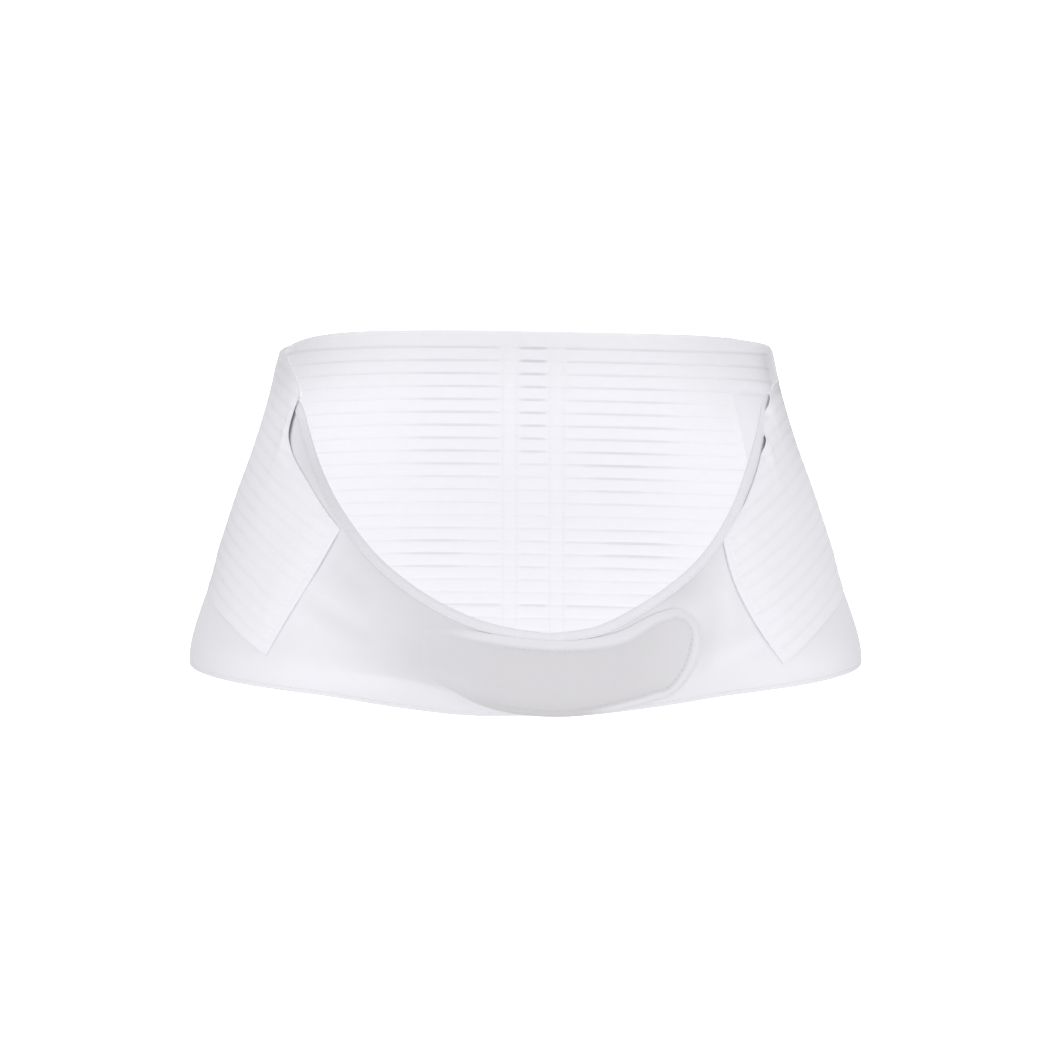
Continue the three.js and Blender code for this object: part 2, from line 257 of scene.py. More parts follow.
def running_length(points):
    """Distance along each column of points from its first one."""
    step = np.linalg.norm(np.diff(points, axis=0), axis=-1)
    return np.concatenate([np.zeros_like(step[:1]), np.cumsum(step, axis=0)])


# Making meshes.
SHARP_ANGLE = math.radians(65)
WELD_REACH = 2e-6


def grid_quads(columns, rows):
    index = np.arange(columns * rows).reshape(columns, rows)
    corners = (index[:-1, :-1], index[1:, :-1], index[1:, 1:], index[:-1, 1:])
    return index, np.stack(corners, axis=-1).reshape(-1, 4)


def rim_quads(index):
    """Quads that close the rim between a grid and its copy."""
    around = np.concatenate([index[:, 0], index[-1, 1:], index[-2::-1, -1], index[0, -2:0:-1]])
    after = np.roll(around, -1)
    return np.stack([around, around + index.size, after + index.size, after], axis=-1)


def signed_volume(points, quads):
    a, b, c, d = (points[quads[:, k]] for k in range(4))
    return np.sum(a * np.cross(b, c)) + np.sum(a * np.cross(c, d))


def new_object(name, points, faces, materials):
    mesh = bpy.data.meshes.new(name)
    mesh.from_pydata((points * MM).tolist(), [], faces)
    for material in materials:
        mesh.materials.append(material)
    piece = bpy.data.objects.new(name, mesh)
    bpy.context.scene.collection.objects.link(piece)
    return piece


def write_attribute(mesh, name, kind, field, values):
    attribute = mesh.attributes.new(name, kind, "POINT")
    attribute.data.foreach_set(field, np.ascontiguousarray(values, np.float32).ravel())


def edit_mesh(mesh, change):
    """Lets a function change a mesh, then shades it smooth."""
    work = bmesh.new()
    work.from_mesh(mesh)
    change(work)
    work.to_mesh(mesh)
    work.free()
    mesh.polygons.foreach_set("use_smooth", np.ones(len(mesh.polygons), bool))


def weld(work):
    """Joins the points that fall together and drops the faces that close up."""
    bmesh.ops.remove_doubles(work, verts=work.verts, dist=WELD_REACH)
    bmesh.ops.dissolve_degenerate(work, edges=work.edges, dist=WELD_REACH)


def face_outward(work):
    bmesh.ops.recalc_face_normals(work, faces=work.faces)


def write_looks(mesh, weave, shade, tone, inside_light):
    """Gives the outer and inner grid of a cloth piece its place in the weave, and its shade and tone, which
    carry painted shade and light.
    """
    along, across = weave
    flat = np.stack([along, across, np.zeros_like(along)], axis=-1).reshape(-1, 3)
    shades, tones = (np.broadcast_to(values, along.shape).reshape(-1) for values in (shade, tone))
    inside = tones + np.broadcast_to(inside_light, along.shape).reshape(-1)
    write_attribute(mesh, "weave", "FLOAT_VECTOR", "vector", np.tile(flat, (2, 1)))
    write_attribute(mesh, "shade", "FLOAT", "value", np.tile(shades, 2))
    write_attribute(mesh, "tone", "FLOAT", "value", np.concatenate([tones, inside]))


def shell(name, outer, inner, weave, materials, shade=0, tone=0, inside_light=0, sheer=None):
    """A closed cloth piece between an outer and an inner grid of points.

    weave gives each point's place along and across the cloth, for its texture. shade and tone are numbers
    for each point of the grid, and they carry painted shade and light (at the tab, tone is the share of
    the wing's colour at its root). lining is added to the tone of the inner side, as painted light where
    it is below 0, and sheer marks the quads of the grid that take the second material.
    """
    index, quads = grid_quads(*outer.shape[:2])
    points = np.concatenate([outer.reshape(-1, 3), inner.reshape(-1, 3)])
    faces = np.concatenate([quads, quads[:, ::-1] + index.size, rim_quads(index)])
    if signed_volume(points, faces) < 0:
        faces = faces[:, ::-1]
    piece = new_object(name, points, faces.tolist(), materials)
    if sheer is not None:
        marks = np.zeros(len(faces), np.int32)
        marks[:2 * len(quads)] = np.tile(sheer.reshape(-1), 2)
        piece.data.polygons.foreach_set("material_index", marks)
    write_looks(piece.data, weave, shade, tone, inside_light)
    edit_mesh(piece.data, weld)
    piece.data.set_sharp_from_angle(angle=SHARP_ANGLE)
    return piece


# Ribbed elastic: rows of a rib from foot to foot, with the middle of a sheer line between ribs.
def rib_rows(count):
    """Rib number, share across the rib, and which rows are the middle of a sheer line."""
    ribs, shares, middles = [], [], []
    for rib in range(count):
        for share in RIB_SHARES:
            ribs.append(rib)
            shares.append(share)
            middles.append(False)
        ribs.append(rib + 1)
        shares.append(0)
        middles.append(True)
    return np.array(ribs), np.array(shares), np.array(middles)


def rib_crown(shares, middles):
    crown = np.sqrt(np.clip(1 - np.abs(2 * shares - 1) ** 4, 0, 1))
    return np.where(middles, 0, crown)


def rib_places(rows, open_share):
    """Distance of each row from the lower edge. open_share is half a sheer line's share of a pitch."""
    ribs, shares, middles = rows
    inside = open_share + shares * (1 - 2 * open_share)
    return RIB_PITCH * (ribs + np.where(middles, 0, inside))


def sheer_quads(middles, plain):
    """Quads of a ribbed grid that lie in a sheer line, away from plain edges."""
    touches = middles[:-1] | middles[1:]
    open_here = plain[:-1, :-1] < 0.5
    return touches[None, :] & open_here


# The back and the ears at its upper corners.
BACK_COLUMNS = 150
BAND_TOP = 3
BAND_SHARES = (0, 0.03, 0.14, 0.5, 1)
BAND_CROWNS = (0, 0.5, 1, 1, 1)
TOP_STEPS = (1.9, 1.1, 0.55, 0.2, 0)
BACK_TOP_ROUND = 1.2
BACK_HEM_ROUND = 0.8
BACK_HEM_SET = 0.1
SEAM_FLAT = 5
EAR_FOOT = 147.6
EAR_FADE = 3
EAR_COLUMNS = 44
EAR_EDGE_SAMPLES = 160
EAR_TIP_RISE = 1
EAR_TIP_ROUND = 2
EAR_SET = {"ahead": 2.6, "behind": -0.5}
EAR_SET_TURNS = {"left": (86, 92), "right": (76, 84)}
EAR_BLEND = 14
EAR_ROLL = {"left": 2.4, "right": 3.3}
EAR_ROLL_HEIGHT = 5
EAR_ROLL_END = 2
EAR_LEAST = 0.2
EAR_ROW_STEP = 0.006
EAR_BAND_RISE = 1
# Painted shade in the sheer lines of the ears.
EAR_SHADE = 0.34
# Painted shade on the back and ears, along the top edge and at the upper corners: middle and half size of
# each patch, and how much darker it is.
BACK_PAINTED_SHADE = table(
    "turn z half_turn half_z depth",
    (88, 162, 13, 30, 0.95),
    (112, 165, 22, 40, 0.45),
    (180, 178, 90, 26, 0.48),
    (262, 170, 30, 28, 0.65),
    (254, 112, 14, 44, 0.15),
)

# Painted shade in the back's sheer lines: middle and half size of each patch, and how much darker they are.
SHEER_BASE = 0.14
SHEER_LIMITS = (0.03, 1.2)
SHEER_UNEVEN = {"depth": 0.08, "stretch": 4, "size": 9}
SHEER_WIDTH = {"least": 0.7, "more": 0.5}
SHEER_ON_STAY = 0.18
SHEER_STAY_REACH = (4.5, 6.5)
SHEER_PATCHES = table(
    "x z half_x half_z depth",
    (0, 166, 118, 12, 0.28),
    (4, 140, 8, 36, 0.6),
    (-38, 126, 27, 34, 0.45),
    (54, 122, 30, 34, 0.42),
    (50, 92, 14, 18, 0.25),
    (-54, 54, 20, 12, 0.4),
    (62, 54, 20, 12, 0.5),
    (6, 54, 52, 14, 0.15),
    (8, 22, 62, 3.5, 0.4),
)


def sheer_shade(x, z):
    """How much painted shade darkens the back's sheer lines at a place, for shadow in and behind them; less
    over a stay.
    """
    total = np.full_like(x, SHEER_BASE)
    for k in range(len(SHEER_PATCHES["x"])):
        across = (x - SHEER_PATCHES["x"][k]) / SHEER_PATCHES["half_x"][k]
        up = (z - SHEER_PATCHES["z"][k]) / SHEER_PATCHES["half_z"][k]
        total += SHEER_PATCHES["depth"][k] * np.exp(-(across ** 4) - up ** 4)
    for side in SIDES:
        off_stay = np.abs(x - STAY_MIDDLE - side["sign"] * STAY_SPACING / 2)
        total *= mix(SHEER_ON_STAY, 1, smooth(*SHEER_STAY_REACH, off_stay))
    uneven = SHEER_UNEVEN["depth"] * ripple(x, SHEER_UNEVEN["stretch"] * z, SHEER_UNEVEN["size"])
    return np.clip(total + uneven, *SHEER_LIMITS)


def line_half(shade):
    """Half the thickness of the cloth in the lines between ribs: thinner where a line is darker."""
    return mix(LINE_HALF["pale"], LINE_HALF["dark"], np.clip(shade, 0, 1))


def back_rows(turn):
    """z, crown, shade and line middles of the back's grid, from its hem to its top edge, with that edge."""
    rows = rib_rows(RIB_COUNT)
    near = on_form(turn, rib_places(rows, SHEER_SHARE)[None, :])
    shade = sheer_shade(near[..., 0], near[..., 2])
    ribs = rib_places(rows, SHEER_SHARE * (SHEER_WIDTH["least"] + SHEER_WIDTH["more"] * shade))
    ribs[:, 0] = 0
    top = top_height(180 - np.abs(180 - turn))
    foot = ribs[:, -1:] + SHEER_SHARE * RIB_PITCH
    band = mix(foot, top - BAND_TOP, np.array(BAND_SHARES)[None, :])
    lip = top - np.array(TOP_STEPS)[None, :]
    z = np.concatenate([ribs, band, lip], axis=1)
    added = z.shape[1] - ribs.shape[1]
    band_crown = np.sqrt(np.concatenate([BAND_CROWNS, np.ones(len(TOP_STEPS))]))
    crown = np.concatenate([rib_crown(rows[1], rows[2]), band_crown])
    shade = np.concatenate([shade, np.repeat(shade[:, -1:], added, axis=1)], axis=1)
    middles = np.concatenate([rows[2], np.zeros(added, bool)])
    return z, crown, shade, middles, top


def back_panel():
    seams = (RIGHT["seam"] + SEAM_GAP, 360 - LEFT["seam"] - SEAM_GAP)
    turn = np.linspace(*seams, BACK_COLUMNS)[:, None]
    z, crown, shade, middles, top = back_rows(turn)
    turn = np.broadcast_to(turn, z.shape)
    along = running_length(on_form(turn, z))
    to_seam = np.minimum(along, along[-1:] - along)
    plain = (1 - smooth(0, SEAM_FLAT, to_seam)) * (1 - smooth(EAR_FOOT - EAR_FADE, EAR_FOOT, z))
    half = mix(mix(line_half(shade), RIB_HALF, crown), PLAIN_HALF, plain)
    half = half * edge_round(top - z, BACK_TOP_ROUND) * edge_round(z + BACK_HEM_SET, BACK_HEM_ROUND)
    outer, inner = lifted(turn, z, CLOTH_MIDDLE + half), lifted(turn, z, CLOTH_MIDDLE - half)
    tone = painted_shade_patches(turn, z, BACK_PAINTED_SHADE)
    sheer = sheer_quads(middles, plain)
    return shell("back_elastic", outer, inner, (along, z), RIBBED, shade=shade, tone=tone, sheer=sheer)


def ear_top(side):
    """Turns along an ear from its tip to the seam, its top edge there, and how much that edge rolls out."""
    line = strap_lines(side, np.linspace(0, 1, EAR_EDGE_SAMPLES))
    edge_turn, edge_z = line["high_turn"][::-1, 0], line["high_z"][::-1, 0]
    tip = edge_turn[np.argmax(edge_z > EAR_FOOT + EAR_TIP_RISE)]
    end = side["seam"] + SEAM_GAP
    away = np.linspace(tip, end, EAR_COLUMNS)[:, None]
    behind = smooth(*EAR_SET_TURNS[side["name"]], away)
    below_strap = np.interp(away, edge_turn, edge_z) - mix(EAR_SET["ahead"], EAR_SET["behind"], behind)
    top = mix(below_strap, top_height(away), smooth(end - EAR_BLEND, end, away))
    rolling = behind * (1 - smooth(end - EAR_BLEND, end - EAR_ROLL_END, away))
    return away, top, rolling


def ear_rows(away, top):
    """z, crown, line middles and plain places of an ear's grid, from its foot to its top edge."""
    rows = rib_rows(RIB_COUNT + 2)
    kept = rib_places(rows, SHEER_SHARE) > EAR_FOOT - RIB_PITCH
    rows = tuple(np.concatenate([part[kept], np.repeat(part[-1:], len(TOP_STEPS))]) for part in rows)
    ribs = rib_places(rows, SHEER_SHARE)[None, :-len(TOP_STEPS)] + 0 * away
    low_top = np.maximum(top - TOP_STEPS[0], EAR_FOOT + EAR_LEAST)
    lip = np.maximum(top - np.array(TOP_STEPS)[None, :], low_top)
    z = np.concatenate([np.clip(ribs, EAR_FOOT, low_top), lip], axis=1)
    z = z + EAR_ROW_STEP * np.arange(z.shape[1])
    in_lip = np.arange(z.shape[1]) >= ribs.shape[1]
    on_band = (z > RIB_COUNT * RIB_PITCH + EAR_BAND_RISE) | in_lip
    cut_off = np.concatenate([(ribs < EAR_FOOT) | (ribs > low_top), np.ones(lip.shape, bool)], axis=1)
    crown = np.where(on_band | cut_off, 1, rib_crown(rows[1], rows[2]))
    return z, crown, rows[2], np.where(on_band, 1.0, 0)


def back_ear(side):
    """The top of the back, running on forward above the wing under the strap's upper edge to a point."""
    away, top, rolling = ear_top(side)
    z, crown, middles, plain = ear_rows(away, top)
    to_top = z[:, -1:] - z
    turn = np.broadcast_to(side["sign"] * away, z.shape)
    along = running_length(on_form(turn, z))
    shade = np.full_like(z, EAR_SHADE)
    half = mix(line_half(shade), RIB_HALF, crown)
    half = half * edge_round(to_top, BACK_TOP_ROUND) * edge_round(along, EAR_TIP_ROUND)
    roll = EAR_ROLL[side["name"]] * rolling * (1 - smooth(0, EAR_ROLL_HEIGHT, to_top))
    middle = CLOTH_MIDDLE + roll
    outer, inner = lifted(turn, z, middle + half), lifted(turn, z, middle - half)
    tone = painted_shade_patches(turn % 360, z, BACK_PAINTED_SHADE)
    name = f"back_ear_{side['name']}"
    sheer = sheer_quads(middles, plain)
    return shell(name, outer, inner, (along, z), RIBBED, shade=shade, tone=tone, sheer=sheer)


def join_pieces(main, others):
    with bpy.context.temp_override(active_object=main, selected_editable_objects=[main, *others]):
        bpy.ops.object.join()


# The wings.
WING_COLUMNS = 130
WING_ROWS = 52
WING_HALF = 1.1
WING_TUCK = 1.7
WING_HEM_ROUND = 1.2
WING_UNEVEN = {"rise": 0.12, "size": 17}
WING_UNEVEN_FADE = (3, 18)
HEM_STEPS = (0, 0.15, 0.4, 0.8, 1.3, 1.9, 2.3, 2.6, 2.9, 3.4)
HEM_GROOVE = {"depth": 0.28, "half": 0.45}

# Folds of the wings: grooves and ridges along lines from one place to another.
FOLDS = table(
    "turn z to_turn to_z width rise",
    (-50, 34, -20, 0, 7, -1.0),
    (-46, 5, -18, -3, 3, -0.8),
    (-48, 52, -30, 22, 8, 0.9),
    (-44, 64, -24, 38, 7, -0.6),
    (52, 26, 36, 6, 8, -0.8),
)

# Painted shade and light on the wings: middle and half size of each patch, and how much darker it is.
WING_PAINTED_SHADE_AND_LIGHT = table(
    "turn z half_turn half_z depth",
    (-34, 58, 14, 18, 0.2),
    (-52, 112, 9, 24, 0.2),
    (-17, 16, 14, 22, 0.67),
    (-27, 40, 11, 14, 0.16),
    (-46, 40, 8, 24, -0.2),
    (-88, 0, 14, 34, 0.2),
    (88, 0, 14, 30, 0.15),
    (-46, 2, 16, 10, -0.3),
    (31, 53, 6, 13, 0.4),
    (37.5, 24, 2.6, 15, 0.28),
    (58, 4, 16, 12, -0.25),
)
# Painted shade along the wings' upper edge, fading with the distance from it.
WING_TOP_PAINTED_SHADE = 0.2
WING_TOP_FADE = (2, 26)
# Painted light on the wings' inner side, more of it towards the seams with the back.
WING_INSIDE_PAINTED_LIGHT = {"hip": -0.3, "seam": -0.74}
WING_INSIDE_LIGHT_TURNS = (92, 118)

# Painted shade and light in soft streaks beside the folds: a line between two places, its half width, how
# much darker it is.
PAINTED_STREAKS = table(
    "turn z to_turn to_z width depth",
    (-48, 43, -31, 22.5, 5, 0.24),
    (-46, 52, -31, 29, 4.5, -0.15),
    (-42, 64, -31, 44, 4, 0.14),
    (38, 10, 52, 24, 5, -0.2),
    (40, 52, 44, 28, 3.5, -0.14),
    (43, 56, 48, 34, 3, 0.2),
)

# A soft crease of the wing runs on from the tab's lower edge: its line, the painted shadow above it and
# painted light below it.
CREASE = table("turn z", (-44, 7), (-37, 6), (-24, 1.8), (-17, -3.5))
CREASE_SOFT = 1.4
CREASE_REACH = 11
CREASE_SHADE = {"above": 0.1, "below": -0.2}
CREASE_FADE = {"left": (-43, -30), "right": (-21, -13)}
crease_height = curve_through(CREASE, "turn", "z")


def wing_places(start, end):
    """Turn, z and height of a wing's grid, from its hem to just inside the binding."""
    low_turn = np.linspace(start, end, WING_COLUMNS)[:, None]
    low_z = hem_height(np.abs(low_turn))
    high_turn, high_z = below_upper_edge(low_turn, np.full_like(low_turn, WING_TUCK))
    length = distance(on_form(low_turn, low_z), on_form(high_turn, high_z))
    hem = np.broadcast_to(np.array(HEM_STEPS), (WING_COLUMNS, len(HEM_STEPS)))
    rest = mix(HEM_STEPS[-1], length, np.linspace(0, 1, WING_ROWS)[None, 1:])
    height = np.concatenate([hem, rest], axis=1)
    share = height / length
    return mix(low_turn, high_turn, share), mix(low_z, high_z, share), height, length


def crease_painted_shade_and_light(turn, z):
    """Painted shadow above the crease beside the tab, and painted light below it."""
    above = z - crease_height(turn)
    side = smooth(-CREASE_SOFT, CREASE_SOFT, above)
    fade = smooth(*CREASE_FADE["left"], turn) * (1 - smooth(*CREASE_FADE["right"], turn))
    return fade * bell(above, CREASE_REACH) * mix(CREASE_SHADE["below"], CREASE_SHADE["above"], side)


def wing_painted_shade_and_light(turn, z, to_top):
    """Painted shade and light on a wing at a place, with its distance from the upper edge."""
    near_top = WING_TOP_PAINTED_SHADE * (1 - smooth(*WING_TOP_FADE, to_top))
    streaks = near_lines(turn, z, PAINTED_STREAKS, "depth")
    return painted_shade_patches(turn, z, WING_PAINTED_SHADE_AND_LIGHT) + near_top + crease_painted_shade_and_light(turn, z) + streaks


def wing(name, start, end):
    turn, z, height, length = wing_places(start, end)
    along = running_length(on_form(turn, z))
    folds = near_lines(turn, z, FOLDS, "rise") * np.sin(np.pi * height / length)
    uneven = WING_UNEVEN["rise"] * ripple(along, z, WING_UNEVEN["size"]) * smooth(*WING_UNEVEN_FADE, height)
    rise = folds + uneven
    groove = HEM_GROOVE["depth"] * bell(height - HEM_LINE, HEM_GROOVE["half"])
    half = WING_HALF * edge_round(height, WING_HEM_ROUND) - groove
    middle = CLOTH_MIDDLE + rise
    outer, inner = lifted(turn, z, middle + half), lifted(turn, z, middle - half)
    tone = wing_painted_shade_and_light(turn, z, length - height)
    to_seam = smooth(*WING_INSIDE_LIGHT_TURNS, np.abs(turn))
    inside_light = mix(WING_INSIDE_PAINTED_LIGHT["hip"], WING_INSIDE_PAINTED_LIGHT["seam"], to_seam)
    return shell(name, outer, inner, (along, height), [PLUSH], tone=tone, inside_light=inside_light)


# The folded scoop binding: its section runs from the outer lip over the edge to the inner lip.
BINDING_COLUMNS = 240
BINDING_MIDDLE = 4
BINDING_RUN_OUT = (72, 80)
BINDING_THIN = 0.55
BINDING_NARROW = 0.4
BINDING_PUCKER = 0.07
BINDING_PUCKER_DROPS = (2.5, 5)
BINDING_SECTION = table(
    "outer_drop outer_lift inner_drop inner_lift",
    (5.0, 2.58, 5.0, 2.3),
    (4.8, 2.68, 4.8, 2.27),
    (3.6, 2.74, 3.6, 2.25),
    (2.2, 2.70, 2.2, 2.25),
    (1.1, 2.52, 1.4, 2.12),
    (0.4, 2.0, 0.85, 1.8),
    (0.0, 1.1, 0.5, 1.1),
    (0.4, 0.2, 0.85, 0.4),
    (1.1, -0.32, 1.4, 0.08),
    (2.2, -0.5, 2.2, -0.05),
    (3.6, -0.54, 3.6, -0.05),
    (4.8, -0.48, 4.8, -0.07),
    (5.0, -0.38, 5.0, -0.1),
)
# Painted shade and light along the binding by turn: how much darker it is, lighter below 0.
BINDING_PAINTED_SHADE_AND_LIGHT = table(
    "turn depth",
    (-98, -0.6), (-80, -0.5), (-62, -0.3), (-47, 0.15), (-34, -0.05), (-20, -0.15), (0, -0.3),
    (30, -0.3), (50, -0.35), (75, -0.4), (84, -0.8), (116, -0.8),
)
binding_painted_shade_and_light = curve_through(BINDING_PAINTED_SHADE_AND_LIGHT, "turn", "depth")


def binding_section(turn):
    """Drops and lifts of the binding's section at each turn: thinner and narrower where it runs out."""
    run_out = smooth(*BINDING_RUN_OUT, np.abs(turn - BINDING_MIDDLE))
    section = {}
    for key, values in BINDING_SECTION.items():
        middle, share = (CLOTH_MIDDLE, BINDING_THIN) if key.endswith("lift") else (0, BINDING_NARROW)
        section[key] = middle + (values - middle)[None, :] * mix(1, share, run_out)
    return section


def scoop_binding(name, start, end):
    turn = np.linspace(start, end, BINDING_COLUMNS)[:, None]
    section = binding_section(turn)
    turn = np.broadcast_to(turn, section["outer_drop"].shape)
    outer_turn, outer_z = below_upper_edge(turn, section["outer_drop"])
    inner_turn, inner_z = below_upper_edge(turn, section["inner_drop"])
    along = running_length(on_form(turn, upper_edge(turn)))
    at_lip = smooth(*BINDING_PUCKER_DROPS, section["outer_drop"])
    pucker = BINDING_PUCKER * np.sin(2 * np.pi * along / STITCH_PITCH) * at_lip
    facing = np.sign(section["outer_lift"] - CLOTH_MIDDLE)
    outer = lifted(outer_turn, outer_z, section["outer_lift"] + pucker * facing)
    inner = lifted(inner_turn, inner_z, section["inner_lift"])
    across = np.broadcast_to(np.arange(turn.shape[1]) * 1.0, along.shape)
    return shell(name, outer, inner, (along, across), [BINDING], tone=binding_painted_shade_and_light(turn))


# The straps.
STRAP_COLUMNS = 150
STRAP_SAMPLES = 60
STRAP_END_STEPS = (4.6, 3.6, 3.0, 2.2, 1.4, 0.8, 0.35, 0)
STRAP_LIFT = 3.1
STRAP_ROOT_LAP = 2.5
STRAP_ROOT_RIB = 6
STRAP_TOP_SET = 1.2
STRAP_END_EASE = 6
STRAP_LOWER = table("along turn z", (0.45, 88, 40.5), (0.62, 77, 36), (0.8, 66, 27), (1, 55, 11))
STRAP_HEM = 3.4
STRAP_HEM_EDGE = (2.9, 3.7)
STRAP_HEM_GROOVE = {"depth": 0.12, "half": 0.5}
STRAP_SELVEDGE = (1.2, 2.2)
STRAP_SETTLE = 0.8
STRAP_FOOT = {"lower": 28, "upper": 12}
STRAP_LYING = (0.93, 0.99)
STRAP_LIP = {"lower": 24, "upper": 7}
STRAP_LIP_SHARE = {"wing": 0.25, "ear": 1, "hip": 0.25, "front": 0.6}
STRAP_FRONT_TURNS = (62, 74)
STRAP_ON_EAR = (1, 5)
STRAP_END_LIP = 0.65
STRAP_END_SINK = 0.5
STRAP_GAPE_FADE = 8
STRAP_LINE_HALF = 0.98
STRAP_PLAIN_HALF = 1.05
STRAP_ROUND = {"end": 1, "upper": 1, "lower": 0.8}
STRAP_SHEER_SHARE = 0.16
# Painted shade in the sheer lines of the straps.
STRAP_SHADE = 0.32
STRAP_UNEVEN = {"depth": 0.1, "stretch": 3, "size": 14}
# Painted shade on the straps, near their upper corners and down the left side: middle and half size of each
# patch, and how much darker it is.
STRAP_PAINTED_SHADE = table(
    "turn z half_turn half_z depth",
    (-74, 166, 14, 22, 0.55),
    (84, 138, 14, 30, 0.45),
    (88, 162, 10, 14, 1.3),
    (-86, 50, 14, 60, 0.32),
)


def edge_gape(z, gapes):
    """How far a strap's upper edge stands off at a height."""
    total = np.zeros_like(z)
    for middle, half, depth in zip(gapes["z"], gapes["half"], gapes["depth"]):
        total += depth * np.exp(-(((z - middle) / half) ** 4))
    return total


def strap_lines(side, along):
    """Lower and upper edge of a strap at shares of its length, with its stand-off and bow."""
    root_turn = side["seam"] + STRAP_ROOT_LAP
    lower_root = {"along": 0, "turn": root_turn, "z": STRAP_ROOT_RIB * RIB_PITCH}
    upper_root = {"along": 0, "turn": root_turn, "z": float(top_height(root_turn)) - STRAP_TOP_SET}
    line = {"along": along[:, None]}
    for edge, root, rest in (("low", lower_root, STRAP_LOWER), ("high", upper_root, side["upper"])):
        rows = {key: np.concatenate([[root[key]], rest[key]]) for key in rest}
        for key in ("turn", "z"):
            line[f"{edge}_{key}"] = curve_through(rows, "along", key)(line["along"])
    late = line["along"] ** STRAP_END_EASE
    line["low_z"] = line["low_z"] + side["low_rise"] * late
    line["mouth"] = edge_gape(line["high_z"], side["gapes"])
    line["bow"] = side["bow"] * late
    low, high = on_form(line["low_turn"], line["low_z"]), on_form(line["high_turn"], line["high_z"])
    line["length"] = distance(low, high)
    return line


def strap_lying(along):
    """1 at the sewn root and the front end of a strap, where it lies flat on the cloth below."""
    return smooth(*STRAP_LYING, np.maximum(along, 1 - along))


def strap_on_ear(z):
    """0 where a strap lies on the wing, 1 where it lies on the top of the back."""
    start, full = STRAP_ON_EAR
    return smooth(EAR_FOOT + start, EAR_FOOT + full, z)


def strap_place(side, line, up):
    """Signed turn, z and lift on a strap at a distance up from its lower edge."""
    height = up / line["length"]
    bow = line["bow"] * 4 * height * (1 - height)
    turn = side["sign"] * (mix(line["low_turn"], line["high_turn"], height) - bow)
    z = mix(line["low_z"], line["high_z"], height)
    at_lower = 1 - smooth(0, STRAP_FOOT["lower"], up)
    at_upper = 1 - smooth(0, STRAP_FOOT["upper"], line["length"] - up)
    at_upper = at_upper * (1 - side["proud"] * strap_on_ear(z))
    at_end = strap_lying(line["along"])
    settle = STRAP_SETTLE * np.maximum(np.maximum(at_lower, at_upper), at_end)
    lift = STRAP_LIFT - settle + line["mouth"] * height ** STRAP_GAPE_FADE
    return turn, z, lift


def strap_lip(to_top, up, turn, z):
    """Share of the full thickness near a strap's upper and lower edge."""
    at_upper = mix(STRAP_LIP_SHARE["wing"], STRAP_LIP_SHARE["ear"], strap_on_ear(z))
    on_hip = smooth(*STRAP_FRONT_TURNS, np.abs(turn))
    at_lower = mix(STRAP_LIP_SHARE["front"], STRAP_LIP_SHARE["hip"], on_hip)
    upper = mix(at_upper, 1, smooth(0, STRAP_LIP["upper"], to_top))
    return upper * mix(at_lower, 1, smooth(0, STRAP_LIP["lower"], up))


def strap_shares(side):
    """Shares along a strap, closer together at its two ends, and its length."""
    line = strap_lines(side, np.linspace(0, 1, STRAP_SAMPLES))
    turn, z, lift = strap_place(side, line, line["length"] / 2)
    total = running_length(lifted(turn, z, lift))[-1, 0]
    steps = np.array(STRAP_END_STEPS) / total
    middle = np.linspace(steps[0], 1 - steps[0], STRAP_COLUMNS)[1:-1]
    return np.concatenate([steps[::-1], middle, 1 - steps]), total


def strap_half(rows, plain, to_end, to_top, up):
    """Half the thickness of a strap: its ribs, plain edges, the hem's sewn line and the rounded edges."""
    half = mix(mix(STRAP_LINE_HALF, RIB_HALF, rib_crown(rows[1], rows[2])), STRAP_PLAIN_HALF, plain)
    half = half - STRAP_HEM_GROOVE["depth"] * bell(to_end - STRAP_HEM, STRAP_HEM_GROOVE["half"])
    half = half * edge_round(to_end, STRAP_ROUND["end"]) * edge_round(to_top, STRAP_ROUND["upper"])
    return half * edge_round(up, STRAP_ROUND["lower"])


def strap(side):
    along_share, total = strap_shares(side)
    line = strap_lines(side, along_share)
    rows = rib_rows(math.ceil(line["length"].max() / RIB_PITCH))
    ribs = rib_places(rows, STRAP_SHEER_SHARE)
    ribs[0] = 0
    up = np.minimum(ribs[None, :], line["length"])
    turn, z, lift = strap_place(side, line, up)
    to_end = np.minimum(1 - along_share, along_share)[:, None] * total
    to_top = line["length"] - up
    plain = np.maximum(1 - smooth(*STRAP_HEM_EDGE, to_end), 1 - smooth(*STRAP_SELVEDGE, to_top))
    at_end = strap_lying(line["along"])
    lip = strap_lip(to_top, up, turn, z) * mix(1, STRAP_END_LIP, at_end)
    half = strap_half(rows, plain, to_end, to_top, up) * lip
    middle = lift + CLOTH_MIDDLE * lip
    sink = STRAP_END_SINK * at_end * (1 - smooth(0, STRAP_HEM, to_end))
    outer, inner = lifted(turn, z, middle + half), lifted(turn, z, middle - half - sink)
    along = np.broadcast_to(line["along"] * total, up.shape)
    uneven = STRAP_UNEVEN["depth"] * ripple(along, STRAP_UNEVEN["stretch"] * up, STRAP_UNEVEN["size"])
    shade = np.clip(STRAP_SHADE + uneven, 0, 1)
    tone = painted_shade_patches(turn, z, STRAP_PAINTED_SHADE)
    name = f"strap_elastic_{side['name']}"
    sheer = sheer_quads(rows[2], plain)
    return shell(name, outer, inner, (along, up), STRAP_CLOTH, shade=shade, tone=tone, sheer=sheer)


